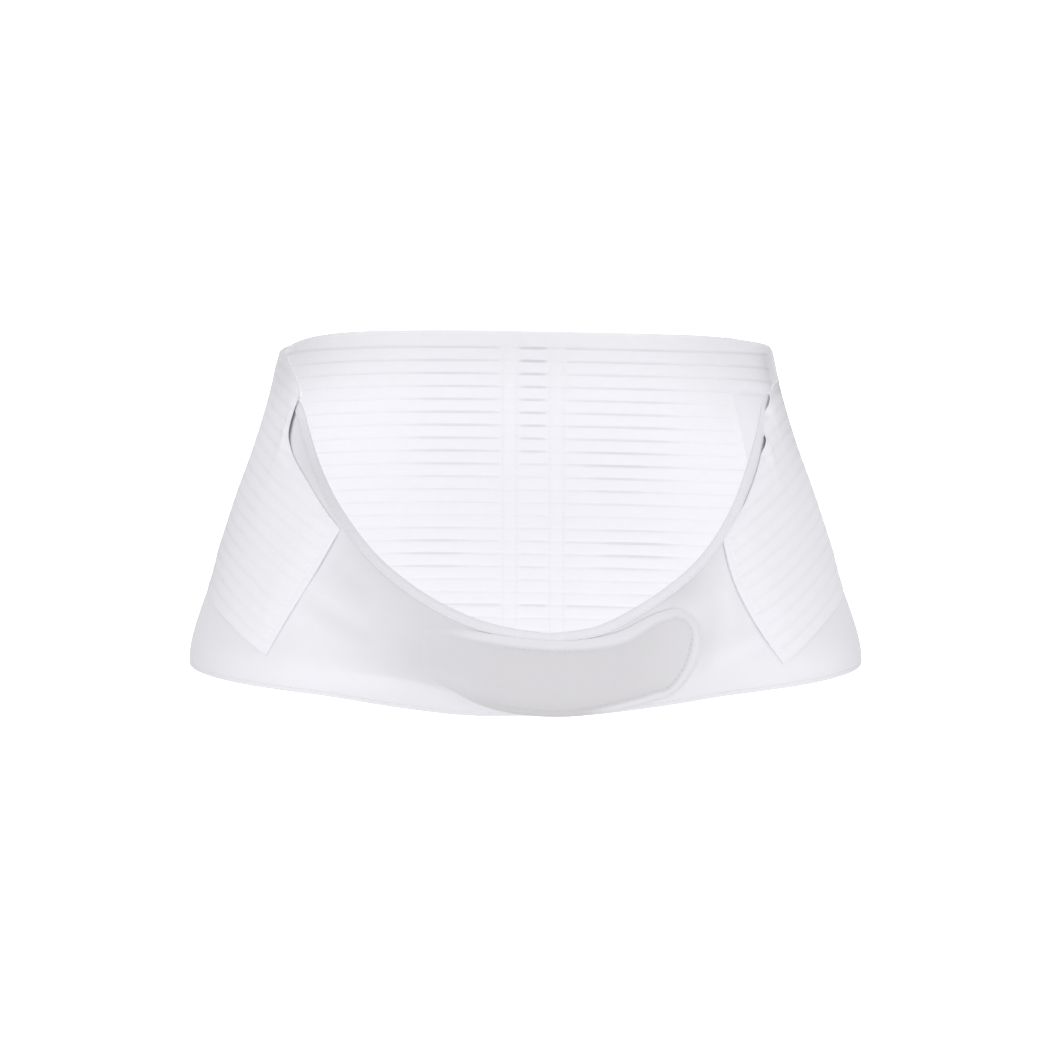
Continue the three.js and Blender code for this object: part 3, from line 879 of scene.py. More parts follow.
# The closure tab: its edges, and its half-round end.
TAB = table(
    "turn lower upper",
    (-30, 12, 22), (-25, 5, 30), (-19, -1, 33), (-10, -11, 29.5), (0, -16, 26),
    (10, -17, 25), (19, -15, 29), (26, -11.6, 37.5), (30, -8.3, 40.5),
)
TAB_END = {"turn": 30, "z": 21, "reach": 6.6}
TAB_START = TAB["turn"][0]
TAB_RADIUS = 148
TAB_COLUMNS = 110
TAB_END_COLUMNS = 36
TAB_ROWS = 60
TAB_UNDER = 2.95
TAB_THICKNESS = 2.4
TAB_CROWN = {"rise": 0.35, "reach": 12}
TAB_SEAM = {"depth": 0.15, "half": 0.8}
TAB_RIM_WIDTH = 5
TAB_RIM_MORE = 2.5
TAB_RIM_MORE_TURNS = (8, 26)
TAB_RIM_MORE_Z = (18, 38)
TAB_RIM_RISE = 0.4
TAB_RIM_POWER = 0.8
TAB_EDGE_SLOPE = 4.5
TAB_EDGE_LEAST = 0.12
TAB_EDGE_LIFT = {"wing": 2.35, "binding": 2.75}
TAB_ON_BINDING = {"start": (-12, -6), "end": (12, 18)}
TAB_SKIRT = 2.3
TAB_SKIRT_WIDTH = 2.5

# The tab's root passes into the wing, in form and in colour, taking on the wing's painted shade.
TAB_ROOT = (2, 24)
TAB_ROOT_SHARE = 0.5
TAB_SUNK = 0.2
TAB_WING_SHADE = 1.364

# How dark the tab is, with its painted shade and light: 1 on its face.
TAB_FACE_EDGE = {"outer": 2.6, "inner": 0.4}
TAB_RIM_SHADE = {"upper": 0.35, "lower": 1.2}
TAB_RIM_START = (10, 20)
TAB_RIM_TURNS = (13, 21)
TAB_RIM_HEIGHTS = (0.25, 0.6)
TAB_END_SHADE = -0.25
TAB_END_TURNS = (20, 36)
TAB_LOW_SHADE = 0.4
TAB_LOW_HEIGHT = 0.3
TAB_SEAM_SHADE = 0.05
TAB_SEAM_SHADE_HALF = 0.9
tab_lower = curve_through(TAB, "turn", "lower")
tab_upper = curve_through(TAB, "turn", "upper")


def tab_columns():
    """Turn, lower edge and upper edge of the tab at each column, with the half-round end last."""
    straight = np.linspace(TAB_START, TAB_END["turn"], TAB_COLUMNS)
    angle = np.linspace(0, 0.5 * np.pi, TAB_END_COLUMNS + 1)[1:]
    low, high = tab_lower(TAB_END["turn"]), tab_upper(TAB_END["turn"])
    turn = np.concatenate([straight, TAB_END["turn"] + TAB_END["reach"] * np.sin(angle)])
    lower = np.concatenate([tab_lower(straight), mix(TAB_END["z"], low, np.cos(angle))])
    upper = np.concatenate([tab_upper(straight), mix(TAB_END["z"], high, np.cos(angle))])
    return turn, lower, upper


def flat_tab(turn, z):
    """Places on the tab laid out flat, in millimetres."""
    return np.stack([np.radians(turn) * TAB_RADIUS, z], axis=-1)


def tab_outline():
    turn, lower, upper = tab_columns()
    below = flat_tab(turn, lower)
    above = flat_tab(turn, upper)[::-1]
    return np.concatenate([below, above])


def to_outline(places, outline):
    """Distance of each flat place to the nearest point of a closed outline."""
    start, step = outline, np.roll(outline, -1, axis=0) - outline
    squared = np.maximum((step ** 2).sum(-1), 1e-9)
    best = np.full(places.shape[:-1], np.inf)
    for k in range(len(start)):
        share = np.clip(((places - start[k]) @ step[k]) / squared[k], 0, 1)
        best = np.minimum(best, distance(places, start[k] + share[..., None] * step[k]))
    return best


def tab_rim_width(turn, z):
    """Width of the tab's rim: wider round the lower half of its end."""
    more = smooth(*TAB_RIM_MORE_TURNS, turn) * (1 - smooth(*TAB_RIM_MORE_Z, z))
    return TAB_RIM_WIDTH + TAB_RIM_MORE * more


def tab_shade(turn, z, height, inward, root):
    """Painted shade and light on the tab: paler rim above and at its end, darker low down, the wing's
    painted shade at its root.
    """
    width = tab_rim_width(turn, z)
    face = smooth(width - TAB_FACE_EDGE["outer"], width - TAB_FACE_EDGE["inner"], inward)
    pale = np.maximum(smooth(*TAB_RIM_HEIGHTS, height), smooth(*TAB_RIM_TURNS, turn))
    rim = mix(TAB_RIM_SHADE["lower"], TAB_RIM_SHADE["upper"], pale)
    low = TAB_LOW_SHADE * (1 - smooth(0, TAB_LOW_HEIGHT, height))
    middle = 1 + TAB_END_SHADE * smooth(*TAB_END_TURNS, turn) + low
    rim = mix(middle, rim, smooth(*TAB_RIM_START, turn - TAB_START))
    own = mix(rim, middle, face) + TAB_SEAM_SHADE * bell(inward - width, TAB_SEAM_SHADE_HALF)
    as_wing = TAB_WING_SHADE * (painted_shade_patches(turn, z, WING_PAINTED_SHADE_AND_LIGHT) + crease_painted_shade_and_light(turn, z))
    return mix(as_wing, own, root)


def tab_thickness(turn, z, inward, root):
    """Thickness of the tab: a piped rim, a sewn line and a soft crown, thinning to its edge."""
    width = tab_rim_width(turn, z)
    pipe = TAB_RIM_RISE * np.sin(np.pi * np.clip(inward / width, 0, 1)) ** TAB_RIM_POWER
    seam = TAB_SEAM["depth"] * bell(inward - width, TAB_SEAM["half"])
    crown = TAB_CROWN["rise"] * smooth(width, width + TAB_CROWN["reach"], inward)
    slope = mix(TAB_EDGE_LEAST, 1, np.sin(0.5 * np.pi * np.clip(inward / TAB_EDGE_SLOPE, 0, 1)))
    return (TAB_THICKNESS + (pipe - seam) * root + crown) * slope


def tab_base(turn, height, inward, root):
    """Lift of the tab's underside: lower at its edge, a little higher on the binding, sunk at its root."""
    on_binding = smooth(*TAB_ON_BINDING["start"], turn) * (1 - smooth(*TAB_ON_BINDING["end"], turn))
    in_upper_half = height > 0.5
    edge_lift = mix(TAB_EDGE_LIFT["wing"], TAB_EDGE_LIFT["binding"], on_binding * in_upper_half)
    under = mix(edge_lift, TAB_UNDER, smooth(0, TAB_EDGE_SLOPE, inward))
    return mix(TAB_SUNK, under, root)


def closure_tab():
    turn, lower, upper = (column[:, None] for column in tab_columns())
    height = 0.5 - 0.5 * np.cos(np.pi * np.linspace(0, 1, TAB_ROWS))[None, :]
    z = mix(lower, upper, height)
    turn = np.broadcast_to(turn, z.shape)
    flat = flat_tab(turn, z)
    inward = to_outline(flat, tab_outline())
    root = smooth(*TAB_ROOT, turn - TAB_START)
    base = tab_base(turn, height, inward, root)
    thickness = tab_thickness(turn, z, inward, root)
    outer = lifted(turn, z, base + thickness * mix(TAB_ROOT_SHARE, 1, root))
    skirt = smooth(0, TAB_SKIRT_WIDTH, inward)
    inner = lifted(turn, z, np.minimum(base, mix(TAB_SKIRT, base, skirt)))
    shade = tab_shade(turn, z, height, inward, root)
    weave = (flat[..., 0], flat[..., 1])
    return shell("tab_plush", outer, inner, weave, [TAB_CLOTH], shade=shade, tone=1 - root)


# The stay casings on the outer face of the back.
STAY_WIDTH = 11.5
STAY_SPACING = 26.5
STAY_MIDDLE = 4.2
STAY_LIFT = 2.6
STAY_COLUMNS = 22
STAY_ROWS = 110
STAY_MARGIN = 2
STAY_SEWN = 1.9
STAY_SEAM_HALF = 0.5
STAY_ENDS = (4, 12)
STAY_THICKNESS = {"edge": 0.9, "crown": 1.15, "seam": 0.25}
STAY_ROUND = 0.7
STAY_UNEVEN = {"depth": 0.06, "stretch": 3, "size": 6}


def back_turn(x, z):
    """The turn at which the back of the form has a given x."""
    share = 1 - (np.abs(x) / form_half(z)) ** FORM_POWER
    y = form_back(z) * share ** (1 / FORM_POWER)
    return np.degrees(np.arctan2(x, -y)) % 360


def stay_turn(side, across, z):
    """The turn of a place at a distance across from a stay's middle."""
    middle = STAY_MIDDLE + side["sign"] * STAY_SPACING / 2
    return back_turn(middle + across, z)


def stay_heights(margin, count):
    return np.linspace(margin, TOP_EDGE["z"][-1] - margin, count)


def stay(side):
    across = np.linspace(-0.5, 0.5, STAY_COLUMNS)[:, None] * STAY_WIDTH
    across, z = np.broadcast_arrays(across, stay_heights(STAY_MARGIN, STAY_ROWS)[None, :])
    turn = stay_turn(side, across, z)
    to_side = STAY_WIDTH / 2 - np.abs(across)
    to_end = np.minimum(z - z[0, 0], z[0, -1] - z)
    inward = np.minimum(to_side, to_end)
    crown = smooth(STAY_SEWN, STAY_WIDTH / 2, to_side) * smooth(*STAY_ENDS, to_end)
    seam = bell(inward - STAY_SEWN, STAY_SEAM_HALF)
    full = STAY_THICKNESS["edge"] + STAY_THICKNESS["crown"] * crown - STAY_THICKNESS["seam"] * seam
    uneven = STAY_UNEVEN["depth"] * ripple(across * STAY_UNEVEN["stretch"], z, STAY_UNEVEN["size"])
    thickness = full * edge_round(inward, STAY_ROUND) + uneven * crown
    outer, inner = lifted(turn, z, STAY_LIFT + thickness), lifted(turn, z, np.full_like(z, STAY_LIFT))
    return shell(f"stay_casing_{side['name']}", outer, inner, (across, z), [CASING])


# Stitches: each a short thread that dips in at both ends. The lifts say where the cloth's faces are.
STITCH_PITCH = 3.1
STITCH_LENGTH = 2.3
STITCH_RADIUS = 0.2
STITCH_BOW = 1.3
STITCH_SUNK = 0.5
STITCH_SIDES = 6
STITCH_RINGS = table("place size", (-1, 0.35), (-0.7, 0.85), (0, 1), (0.7, 0.85), (1, 0.35))
STITCH_SAMPLES = {"stay": 80, "wing": 160, "seam": 20, "strap": 60}
STAY_STITCH_LIFT = {"outside": 3.32, "inside": -0.12}
HEM_STITCH_LIFT = {"outside": 2.02, "inside": 0.18}
BINDING_STITCH_LIFT = {"outside": 2.78, "inside": -0.58}
BINDING_STITCH_DROP = 4.2
SEAM_STITCH_LIFT = 2.12
SEAM_STITCH_SET = 1.0
SEAM_STITCH_Z = (4, 40)
STITCH_MARGIN = {"stay": 3, "wing": 1, "strap": 1.5}
STRAP_THREAD_SUNK = 0.25
TAB_THREAD_SUNK = 0.08


def stitch_row(turn, z, lift, facing=1):
    """Points of the stitches along a line of places, as an array of stitches, rings and sides."""
    turn, z, lift = np.broadcast_arrays(turn, z, lift)
    run = running_length(lifted(turn, z, lift)[:, None, :])[:, 0]
    count = int((run[-1] - STITCH_LENGTH) / STITCH_PITCH)
    middles = (run[-1] - (count - 1) * STITCH_PITCH) / 2 + np.arange(count) * STITCH_PITCH
    at = middles[:, None] + STITCH_RINGS["place"] * STITCH_LENGTH / 2
    ring_turn, ring_z, ring_lift = (np.interp(at, run, values) for values in (turn, z, lift))
    bow = STITCH_RADIUS * STITCH_BOW * (1 - STITCH_RINGS["place"] ** 2) - STITCH_SUNK * STITCH_RADIUS
    centre = lifted(ring_turn, ring_z, ring_lift + facing * bow)
    out = form_normal(ring_turn, ring_z)
    ahead = unit(centre[:, -1:] - centre[:, :1])
    across = unit(np.cross(np.broadcast_to(ahead, out.shape), out))
    angle = 2 * np.pi * np.arange(STITCH_SIDES) / STITCH_SIDES
    size = STITCH_RADIUS * STITCH_RINGS["size"][None, :, None, None]
    ring = out[:, :, None] * np.sin(angle)[:, None] + across[:, :, None] * np.cos(angle)[:, None]
    return centre[:, :, None] + size * ring


def both_faces(turn, z, lifts):
    """A row of stitches on the outer face and one on the inner face of a cloth."""
    return [stitch_row(turn, z, lifts["outside"]), stitch_row(turn, z, lifts["inside"], -1)]


def stitch_faces(count):
    rings = len(STITCH_RINGS["place"])
    each = rings * STITCH_SIDES
    index = np.arange(each).reshape(rings, STITCH_SIDES)
    turned = np.roll(index, -1, axis=1)
    walls = np.stack([index[:-1], turned[:-1], turned[1:], index[1:]], axis=-1).reshape(-1, 4)
    ends = [index[0, ::-1].tolist(), index[-1].tolist()]
    faces = []
    for k in range(count):
        faces.extend((walls + k * each).tolist())
        faces.extend([[corner + k * each for corner in end] for end in ends])
    return faces


def stitches(name, rows, thread):
    points = np.concatenate(rows)
    piece = new_object(name, points.reshape(-1, 3), stitch_faces(len(points)), [thread])
    edit_mesh(piece.data, face_outward)
    return piece


def stay_stitches():
    z = stay_heights(STITCH_MARGIN["stay"], STITCH_SAMPLES["stay"])
    rows = []
    for side in SIDES:
        for edge in (-1, 1):
            turn = stay_turn(side, edge * (STAY_WIDTH / 2 - STAY_SEWN), z)
            rows += both_faces(turn, z, STAY_STITCH_LIFT)
    return stitches("stay_stitches", rows, PALE_THREAD)


def wing_stitches(name, start, end):
    turn = np.linspace(start + STITCH_MARGIN["wing"], end - STITCH_MARGIN["wing"], STITCH_SAMPLES["wing"])
    hem_z = hem_height(np.abs(turn)) + HEM_LINE
    edge_turn, edge_z = below_upper_edge(turn, np.full_like(turn, BINDING_STITCH_DROP))
    rows = both_faces(turn, hem_z, HEM_STITCH_LIFT) + both_faces(edge_turn, edge_z, BINDING_STITCH_LIFT)
    return stitches(name, rows, THREAD)


def seam_stitches(side):
    z = np.linspace(*SEAM_STITCH_Z, STITCH_SAMPLES["seam"])
    seam = side["sign"] * side["seam"]
    rows = [stitch_row(seam + away, z, SEAM_STITCH_LIFT) for away in (-SEAM_STITCH_SET, SEAM_STITCH_SET)]
    return stitches(f"seam_stitches_{side['name']}", rows, PALE_THREAD)


def strap_stitches(side):
    _, total = strap_shares(side)
    line = strap_lines(side, np.array([1 - STRAP_HEM / total]))
    margin = STITCH_MARGIN["strap"]
    up = np.linspace(margin, line["length"][0, 0] - margin, STITCH_SAMPLES["strap"])[None, :]
    turn, z, lift = strap_place(side, line, up)
    lip = strap_lip(line["length"] - up, up, turn, z) * STRAP_END_LIP
    row = stitch_row(turn[0], z[0], lift[0] + 2 * CLOTH_MIDDLE * lip[0] - STRAP_THREAD_SUNK)
    return stitches(f"strap_stitches_{side['name']}", [row], PALE_THREAD)


def tab_stitches():
    outline = tab_outline()
    ahead = unit(np.roll(outline, -1, axis=0) - np.roll(outline, 1, axis=0))
    inward = np.stack([-ahead[:, 1], ahead[:, 0]], axis=-1)
    width = tab_rim_width(np.degrees(outline[:, 0] / TAB_RADIUS), outline[:, 1])
    row = outline + inward * width[:, None]
    turn, z = np.degrees(row[:, 0] / TAB_RADIUS), row[:, 1]
    kept = turn > TAB_START + TAB_ROOT[1]
    row = stitch_row(turn[kept], z[kept], TAB_UNDER + TAB_THICKNESS - TAB_THREAD_SUNK)
    return stitches("tab_stitches", [row], TAB_THREAD)


# Materials.
# How much the painted shade in the tone attribute darkens a colour at a tone of 1.
PAINTED_SHADE_REACH = 0.28
TAB_SHADE_MOST = 1.5
TAB_MOTTLE = 0.12
CORD_SHARE = 0.6
THREAD_TWIST = 0.0004


def linear(red, green, blue):
    """A colour given as the 0 to 255 values that a screen shows."""
    def one(value):
        share = value / 255
        return share / 12.92 if share <= 0.04045 else ((share + 0.055) / 1.055) ** 2.4
    return (one(red), one(green), one(blue), 1)


def add_node(material, kind, **settings):
    node = material.node_tree.nodes.new(kind)
    for name, value in settings.items():
        setattr(node, name, value)
    return node


def join(material, out_socket, in_socket):
    material.node_tree.links.new(out_socket, in_socket)


def math_node(material, operation, first, second):
    node = add_node(material, "ShaderNodeMath", operation=operation)
    for socket, value in zip(node.inputs, (first, second)):
        if isinstance(value, (int, float)):
            socket.default_value = value
        else:
            join(material, value, socket)
    return node.outputs[0]


def attribute(material, name, output="Fac"):
    return add_node(material, "ShaderNodeAttribute", attribute_name=name).outputs[output]


def weave_place(material):
    """The place along and across the cloth, in millimetres."""
    return attribute(material, "weave", "Vector")


def weave_axes(material, place):
    """The place along and across the cloth, as two numbers."""
    apart = add_node(material, "ShaderNodeSeparateXYZ")
    join(material, place, apart.inputs["Vector"])
    return apart.outputs["X"], apart.outputs["Y"]


def wave(material, coordinate, period):
    """A sine wave along one coordinate, with its period in millimetres."""
    return math_node(material, "SINE", math_node(material, "MULTIPLY", coordinate, 2 * math.pi / period), 0)


def noise(material, vector, size, detail=3):
    """Noise with grains of about the given size, in the vector's unit."""
    node = add_node(material, "ShaderNodeTexNoise")
    node.inputs["Scale"].default_value = 1 / size
    node.inputs["Detail"].default_value = detail
    join(material, vector, node.inputs["Vector"])
    return node.outputs["Fac"]


def blend_colours(material, factor, low, high):
    node = add_node(material, "ShaderNodeValToRGB")
    node.color_ramp.elements[0].color = low
    node.color_ramp.elements[1].color = high
    join(material, factor, node.inputs["Fac"])
    return node.outputs["Color"]


def cross_fade(material, share, first, second):
    """One colour that passes into another."""
    node = add_node(material, "ShaderNodeMixRGB")
    join(material, share, node.inputs["Fac"])
    join(material, first, node.inputs["Color1"])
    join(material, second, node.inputs["Color2"])
    return node.outputs["Color"]


def bump(material, shader, height, strength, depth):
    """Relief of the given depth in millimetres."""
    node = add_node(material, "ShaderNodeBump")
    node.inputs["Strength"].default_value = strength
    node.inputs["Distance"].default_value = depth * MM
    join(material, height, node.inputs["Height"])
    join(material, node.outputs["Normal"], shader.inputs["Normal"])


def new_material(name, roughness, sheen):
    material = bpy.data.materials.new(name)
    material.use_nodes = True
    shader = material.node_tree.nodes["Principled BSDF"]
    shader.inputs["Roughness"].default_value = roughness
    shader.inputs["Specular IOR Level"].default_value = 0.2
    shader.inputs["Sheen Weight"].default_value = sheen
    shader.inputs["Sheen Roughness"].default_value = 0.6
    return material, shader


def with_painted_shade(material, colour):
    """A colour with the painted shade that the tone attribute carries: darker above 0, lighter below it."""
    loss = math_node(material, "MULTIPLY", attribute(material, "tone"), PAINTED_SHADE_REACH)
    keep = math_node(material, "SUBTRACT", 1, loss)
    node = add_node(material, "ShaderNodeVectorMath", operation="SCALE")
    join(material, colour, node.inputs[0])
    join(material, keep, node.inputs["Scale"])
    return node.outputs["Vector"]


def mottled(material, mottle, colour, darkest):
    """A colour that noise darkens to a share of itself."""
    low = tuple(channel * darkest for channel in colour[:3]) + (1,)
    return blend_colours(material, mottle, low, colour)


def rib_material(name, colour):
    """Opaque white ribs, knitted in fine upright wales."""
    material, shader = new_material(name, roughness=0.8, sheen=0.1)
    place = weave_place(material)
    along, across = weave_axes(material, place)
    cloth = mottled(material, noise(material, place, size=5), colour, darkest=0.96)
    join(material, with_painted_shade(material, cloth), shader.inputs["Base Color"])
    wales = wave(material, along, period=0.95)
    courses = wave(material, across, period=0.7)
    fuzz = noise(material, place, size=0.5)
    knit = math_node(material, "ADD", math_node(material, "MULTIPLY", wales, courses), fuzz)
    bump(material, shader, knit, strength=0.35, depth=0.1)
    return material


def sheer_material(name, light, dark):
    """The thin open lines between the ribs, darkened by painted shade where the shade attribute is higher,
    for shadow in the grooves and behind them.
    """
    material, shader = new_material(name, roughness=0.7, sheen=0)
    cloth = blend_colours(material, attribute(material, "shade"), light, dark)
    join(material, with_painted_shade(material, cloth), shader.inputs["Base Color"])
    along, _ = weave_axes(material, weave_place(material))
    bump(material, shader, wave(material, along, period=0.8), strength=0.4, depth=0.1)
    return material


def plush_material(name, colour, fine):
    """Brushed loop cloth with a soft pile."""
    material, shader = new_material(name, roughness=0.95, sheen=0.25)
    place = weave_place(material)
    cloth = mottled(material, noise(material, place, size=9, detail=4), colour, darkest=0.965)
    join(material, with_painted_shade(material, cloth), shader.inputs["Base Color"])
    pile = noise(material, place, size=fine, detail=4)
    tufts = noise(material, place, size=2.6, detail=2)
    bump(material, shader, math_node(material, "ADD", pile, tufts), strength=0.4, depth=0.22)
    return material


def tab_material():
    """Pressed loop cloth of the front tab, with painted shade and light: paler along its rim, and as the
    wing at its root.
    """
    material, shader = new_material("tab_loop", roughness=0.92, sheen=0.2)
    place = weave_place(material)
    mottle = math_node(material, "MULTIPLY", noise(material, place, size=6, detail=4), TAB_MOTTLE)
    middle = math_node(material, "SUBTRACT", attribute(material, "shade"), TAB_MOTTLE / 2)
    factor = math_node(material, "DIVIDE", math_node(material, "ADD", middle, mottle), TAB_SHADE_MOST)
    own = blend_colours(material, factor, low=linear(221, 220, 224), high=linear(187, 185, 188))
    as_wing = blend_colours(material, factor, low=linear(221, 220, 225), high=linear(187, 186, 191))
    root = attribute(material, "tone")
    join(material, cross_fade(material, root, own, as_wing), shader.inputs["Base Color"])
    bump(material, shader, noise(material, place, size=0.6, detail=4), strength=0.35, depth=0.18)
    return material


def binding_material():
    """Narrow knitted binding with fine ribs along its run."""
    material, shader = new_material("binding_knit", roughness=0.8, sheen=0.1)
    place = weave_place(material)
    along, across = weave_axes(material, place)
    cloth = mottled(material, noise(material, place, size=4), linear(211, 210, 215), darkest=0.95)
    join(material, with_painted_shade(material, cloth), shader.inputs["Base Color"])
    cords = math_node(material, "MULTIPLY", wave(material, across, period=0.8), CORD_SHARE)
    knit = math_node(material, "ADD", cords, wave(material, along, period=0.9))
    bump(material, shader, knit, strength=0.35, depth=0.1)
    return material


def casing_material():
    """Twill tape of the stay casings."""
    material, shader = new_material("casing_twill", roughness=0.75, sheen=0.05)
    place = weave_place(material)
    along, across = weave_axes(material, place)
    cloth = mottled(material, noise(material, place, size=5), linear(247, 246, 250), darkest=0.96)
    join(material, cloth, shader.inputs["Base Color"])
    twill = wave(material, math_node(material, "ADD", along, across), period=0.9)
    bump(material, shader, twill, strength=0.4, depth=0.12)
    return material


def thread_material(name, low, high):
    """Twisted sewing thread."""
    material, shader = new_material(name, roughness=0.55, sheen=0)
    place = add_node(material, "ShaderNodeTexCoord").outputs["Object"]
    twist = noise(material, place, size=THREAD_TWIST, detail=2)
    join(material, blend_colours(material, twist, low, high), shader.inputs["Base Color"])
    bump(material, shader, twist, strength=0.3, depth=0.05)
    return material


# The same ribbed elastic twice: painted paler on the back, for the light inside it, and darker on the
# straps.
RIBBED = [
    rib_material("elastic_rib", linear(250, 249, 253)),
    sheer_material("elastic_sheer", light=linear(248, 247, 251), dark=linear(223, 222, 229)),
]
STRAP_CLOTH = [
    rib_material("strap_rib", linear(229, 228, 233)),
    sheer_material("strap_sheer", light=linear(228, 227, 232), dark=linear(219, 218, 224)),
]
PLUSH = plush_material("wing_plush", linear(220, 219, 224), fine=0.55)
TAB_CLOTH = tab_material()
BINDING = binding_material()
CASING = casing_material()
THREAD = thread_material("sewing_thread", linear(218, 217, 222), linear(238, 237, 242))
PALE_THREAD = thread_material("pale_thread", linear(236, 235, 240), linear(249, 248, 252))
TAB_THREAD = thread_material("tab_thread", linear(202, 200, 203), linear(216, 214, 217))

# Camera, floor and light, in metres and degrees.
CAMERA_ELEVATION = 4
CAMERA_DISTANCE = 4
CAMERA_TARGET_Z = 0.075
CAMERA_LENS = 250
CAMERA_SENSOR = 36
CAMERA_REACH = 100
FLOOR_Z = -0.5
FLOOR_HALF_WIDTH = 8
FLOOR_NEAR = -1
FLOOR_FAR = 16
FLOOR_GRAIN = 3
FLOOR_GLOW = 0.6


def add_camera():
    data = bpy.data.cameras.new("photo_camera")
    data.lens = CAMERA_LENS
    data.sensor_width = CAMERA_SENSOR
    data.clip_end = CAMERA_REACH
    camera = bpy.data.objects.new("photo_camera", data)
    tilt = math.radians(CAMERA_ELEVATION)
    back, up = CAMERA_DISTANCE * math.cos(tilt), CAMERA_DISTANCE * math.sin(tilt)
    camera.location = (0, -back, CAMERA_TARGET_Z + up)
    camera.rotation_euler = (math.pi / 2 - tilt, 0, 0)
    bpy.context.scene.collection.objects.link(camera)
    bpy.context.scene.camera = camera


def floor_material():
    material, shader = new_material("studio_floor", roughness=0.9, sheen=0)
    grain = add_node(material, "ShaderNodeTexNoise")
    grain.inputs["Scale"].default_value = FLOOR_GRAIN
    colours = blend_colours(material, grain.outputs["Fac"], linear(253, 253, 253), linear(255, 255, 255))
    join(material, colours, shader.inputs["Base Color"])
    shader.inputs["Emission Color"].default_value = (1, 1, 1, 1)
    shader.inputs["Emission Strength"].default_value = FLOOR_GLOW
    return material


def add_floor():
    mesh = bpy.data.meshes.new("studio_floor")
    sides = (-FLOOR_HALF_WIDTH, FLOOR_HALF_WIDTH)
    corners = [(x, FLOOR_NEAR, FLOOR_Z) for x in sides] + [(x, FLOOR_FAR, FLOOR_Z) for x in sides[::-1]]
    mesh.from_pydata(corners, [], [(0, 1, 2, 3)])
    mesh.materials.append(floor_material())
    floor = bpy.data.objects.new("studio_floor", mesh)
    floor.visible_diffuse = False
    floor.visible_glossy = False
    bpy.context.scene.collection.objects.link(floor)


# Brightness of the light tent, above and below the horizon, by angle round from the camera side.
TENT = table(
    "angle upper lower",
    (0, 0.8, 0.95), (20, 0.75, 0.95), (40, 0.85, 1.0), (60, 1.2, 1.2), (75, 1.35, 1.4), (90, 1.0, 1.1),
    (102, 0.3, 0.3), (118, 0.2, 0.2), (138, 0.3, 0.3), (155, 0.8, 0.6), (180, 1.0, 0.8),
)
TENT_MOST = 1.5
TENT_STRENGTH = 1.28
HORIZON = (-0.25, 0.35)


def tent_band(world, share, column):
    """Brightness of one half of the tent round the belt."""
    ramp = add_node(world, "ShaderNodeValToRGB")
    stops = ramp.color_ramp.elements
    stops.remove(stops[1])
    for k, (angle, light) in enumerate(zip(TENT["angle"], TENT[column])):
        stop = stops[0] if k == 0 else stops.new(angle / 180)
        stop.position = angle / 180
        stop.color = (light / TENT_MOST,) * 3 + (1,)
    join(world, share, ramp.inputs["Fac"])
    return math_node(world, "MULTIPLY", ramp.outputs["Color"], TENT_MOST * TENT_STRENGTH)


def tent_light(world):
    """Brightness of the tent in every direction."""
    coordinate = add_node(world, "ShaderNodeTexCoord")
    apart = add_node(world, "ShaderNodeSeparateXYZ")
    join(world, coordinate.outputs["Generated"], apart.inputs["Vector"])
    x, y, z = (apart.outputs[axis] for axis in "XYZ")
    aside, ahead = math_node(world, "ABSOLUTE", x, 0), math_node(world, "MULTIPLY", y, -1)
    share = math_node(world, "DIVIDE", math_node(world, "ARCTAN2", aside, ahead), math.pi)
    upper, lower = tent_band(world, share, "upper"), tent_band(world, share, "lower")
    height = add_node(world, "ShaderNodeMapRange", interpolation_type="SMOOTHSTEP")
    height.inputs["From Min"].default_value, height.inputs["From Max"].default_value = HORIZON
    join(world, z, height.inputs["Value"])
    difference = math_node(world, "SUBTRACT", upper, lower)
    change = math_node(world, "MULTIPLY", difference, height.outputs["Result"])
    return math_node(world, "ADD", lower, change)


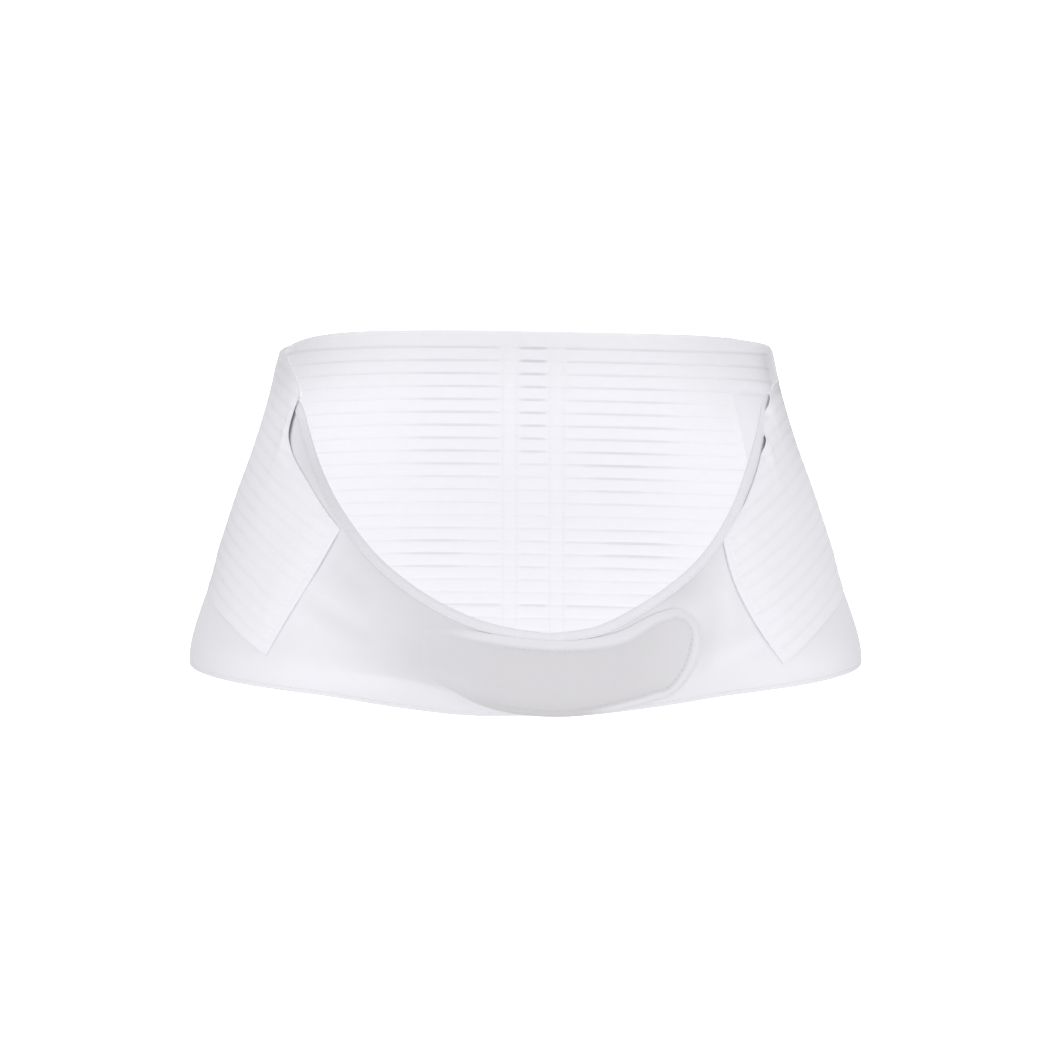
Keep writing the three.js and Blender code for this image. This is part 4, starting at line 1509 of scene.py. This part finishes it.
def add_light():
    """A soft light tent, which the camera itself sees as plain white."""
    world = bpy.data.worlds.new("light_tent")
    world.use_nodes = True
    bpy.context.scene.world = world
    background = world.node_tree.nodes["Background"]
    background.inputs["Color"].default_value = (1, 1, 1, 1)
    seen = add_node(world, "ShaderNodeLightPath").outputs["Is Camera Ray"]
    join(world, math_node(world, "MAXIMUM", tent_light(world), seen), background.inputs["Strength"])
    bpy.context.scene.view_settings.view_transform = "Standard"


add_camera()
add_floor()
add_light()

# Putting the belt together.
WING_SPANS = {
    "left": (SEAM_GAP - LEFT["seam"], WING_MEET - MEET_GAP),
    "right": (WING_MEET + MEET_GAP, RIGHT["seam"] - SEAM_GAP),
}
STITCH_SPANS = {"left": (-LEFT["seam"], WING_MEET), "right": (WING_MEET, RIGHT["seam"])}
BACK = back_panel()
join_pieces(BACK, [back_ear(side) for side in SIDES])
WINGS = {name: wing(f"wing_plush_{name}", *span) for name, span in WING_SPANS.items()}
EDGES = {name: scoop_binding(f"scoop_edge_{name}", *span) for name, span in WING_SPANS.items()}
STRAPS = {side["name"]: strap(side) for side in SIDES}
STAYS = {side["name"]: stay(side) for side in SIDES}
FRONT_TAB = closure_tab()
SEWING = [(stay_stitches(), "casing_tape"), (tab_stitches(), "tab_plush")]
SEWING += [(wing_stitches(f"wing_stitches_{name}", *span), "plush") for name, span in STITCH_SPANS.items()]
SEWING += [(seam_stitches(side), "plush") for side in SIDES]
SEWING += [(strap_stitches(side), "ribbed_elastic") for side in SIDES]


def place_piece(piece, slot, *nodes):
    """Puts a piece on the belt's one body, in place of the solids it stands for. slot is not used."""
    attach(piece, "root")
    if nodes:
        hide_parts(*nodes)


place_piece(BACK, "ribbed_elastic", "back_panel")
place_piece(FRONT_TAB, "tab_plush", "closure_tab")
for name in ("left", "right"):
    place_piece(WINGS[name], "plush", f"wing_{name}")
    place_piece(EDGES[name], "binding", f"scoop_binding_{name}")
    place_piece(STRAPS[name], "ribbed_elastic", f"strap_{name}")
    place_piece(STAYS[name], "casing_tape", f"stay_{name}")
for sewing, slot_name in SEWING:
    place_piece(sewing, slot_name)
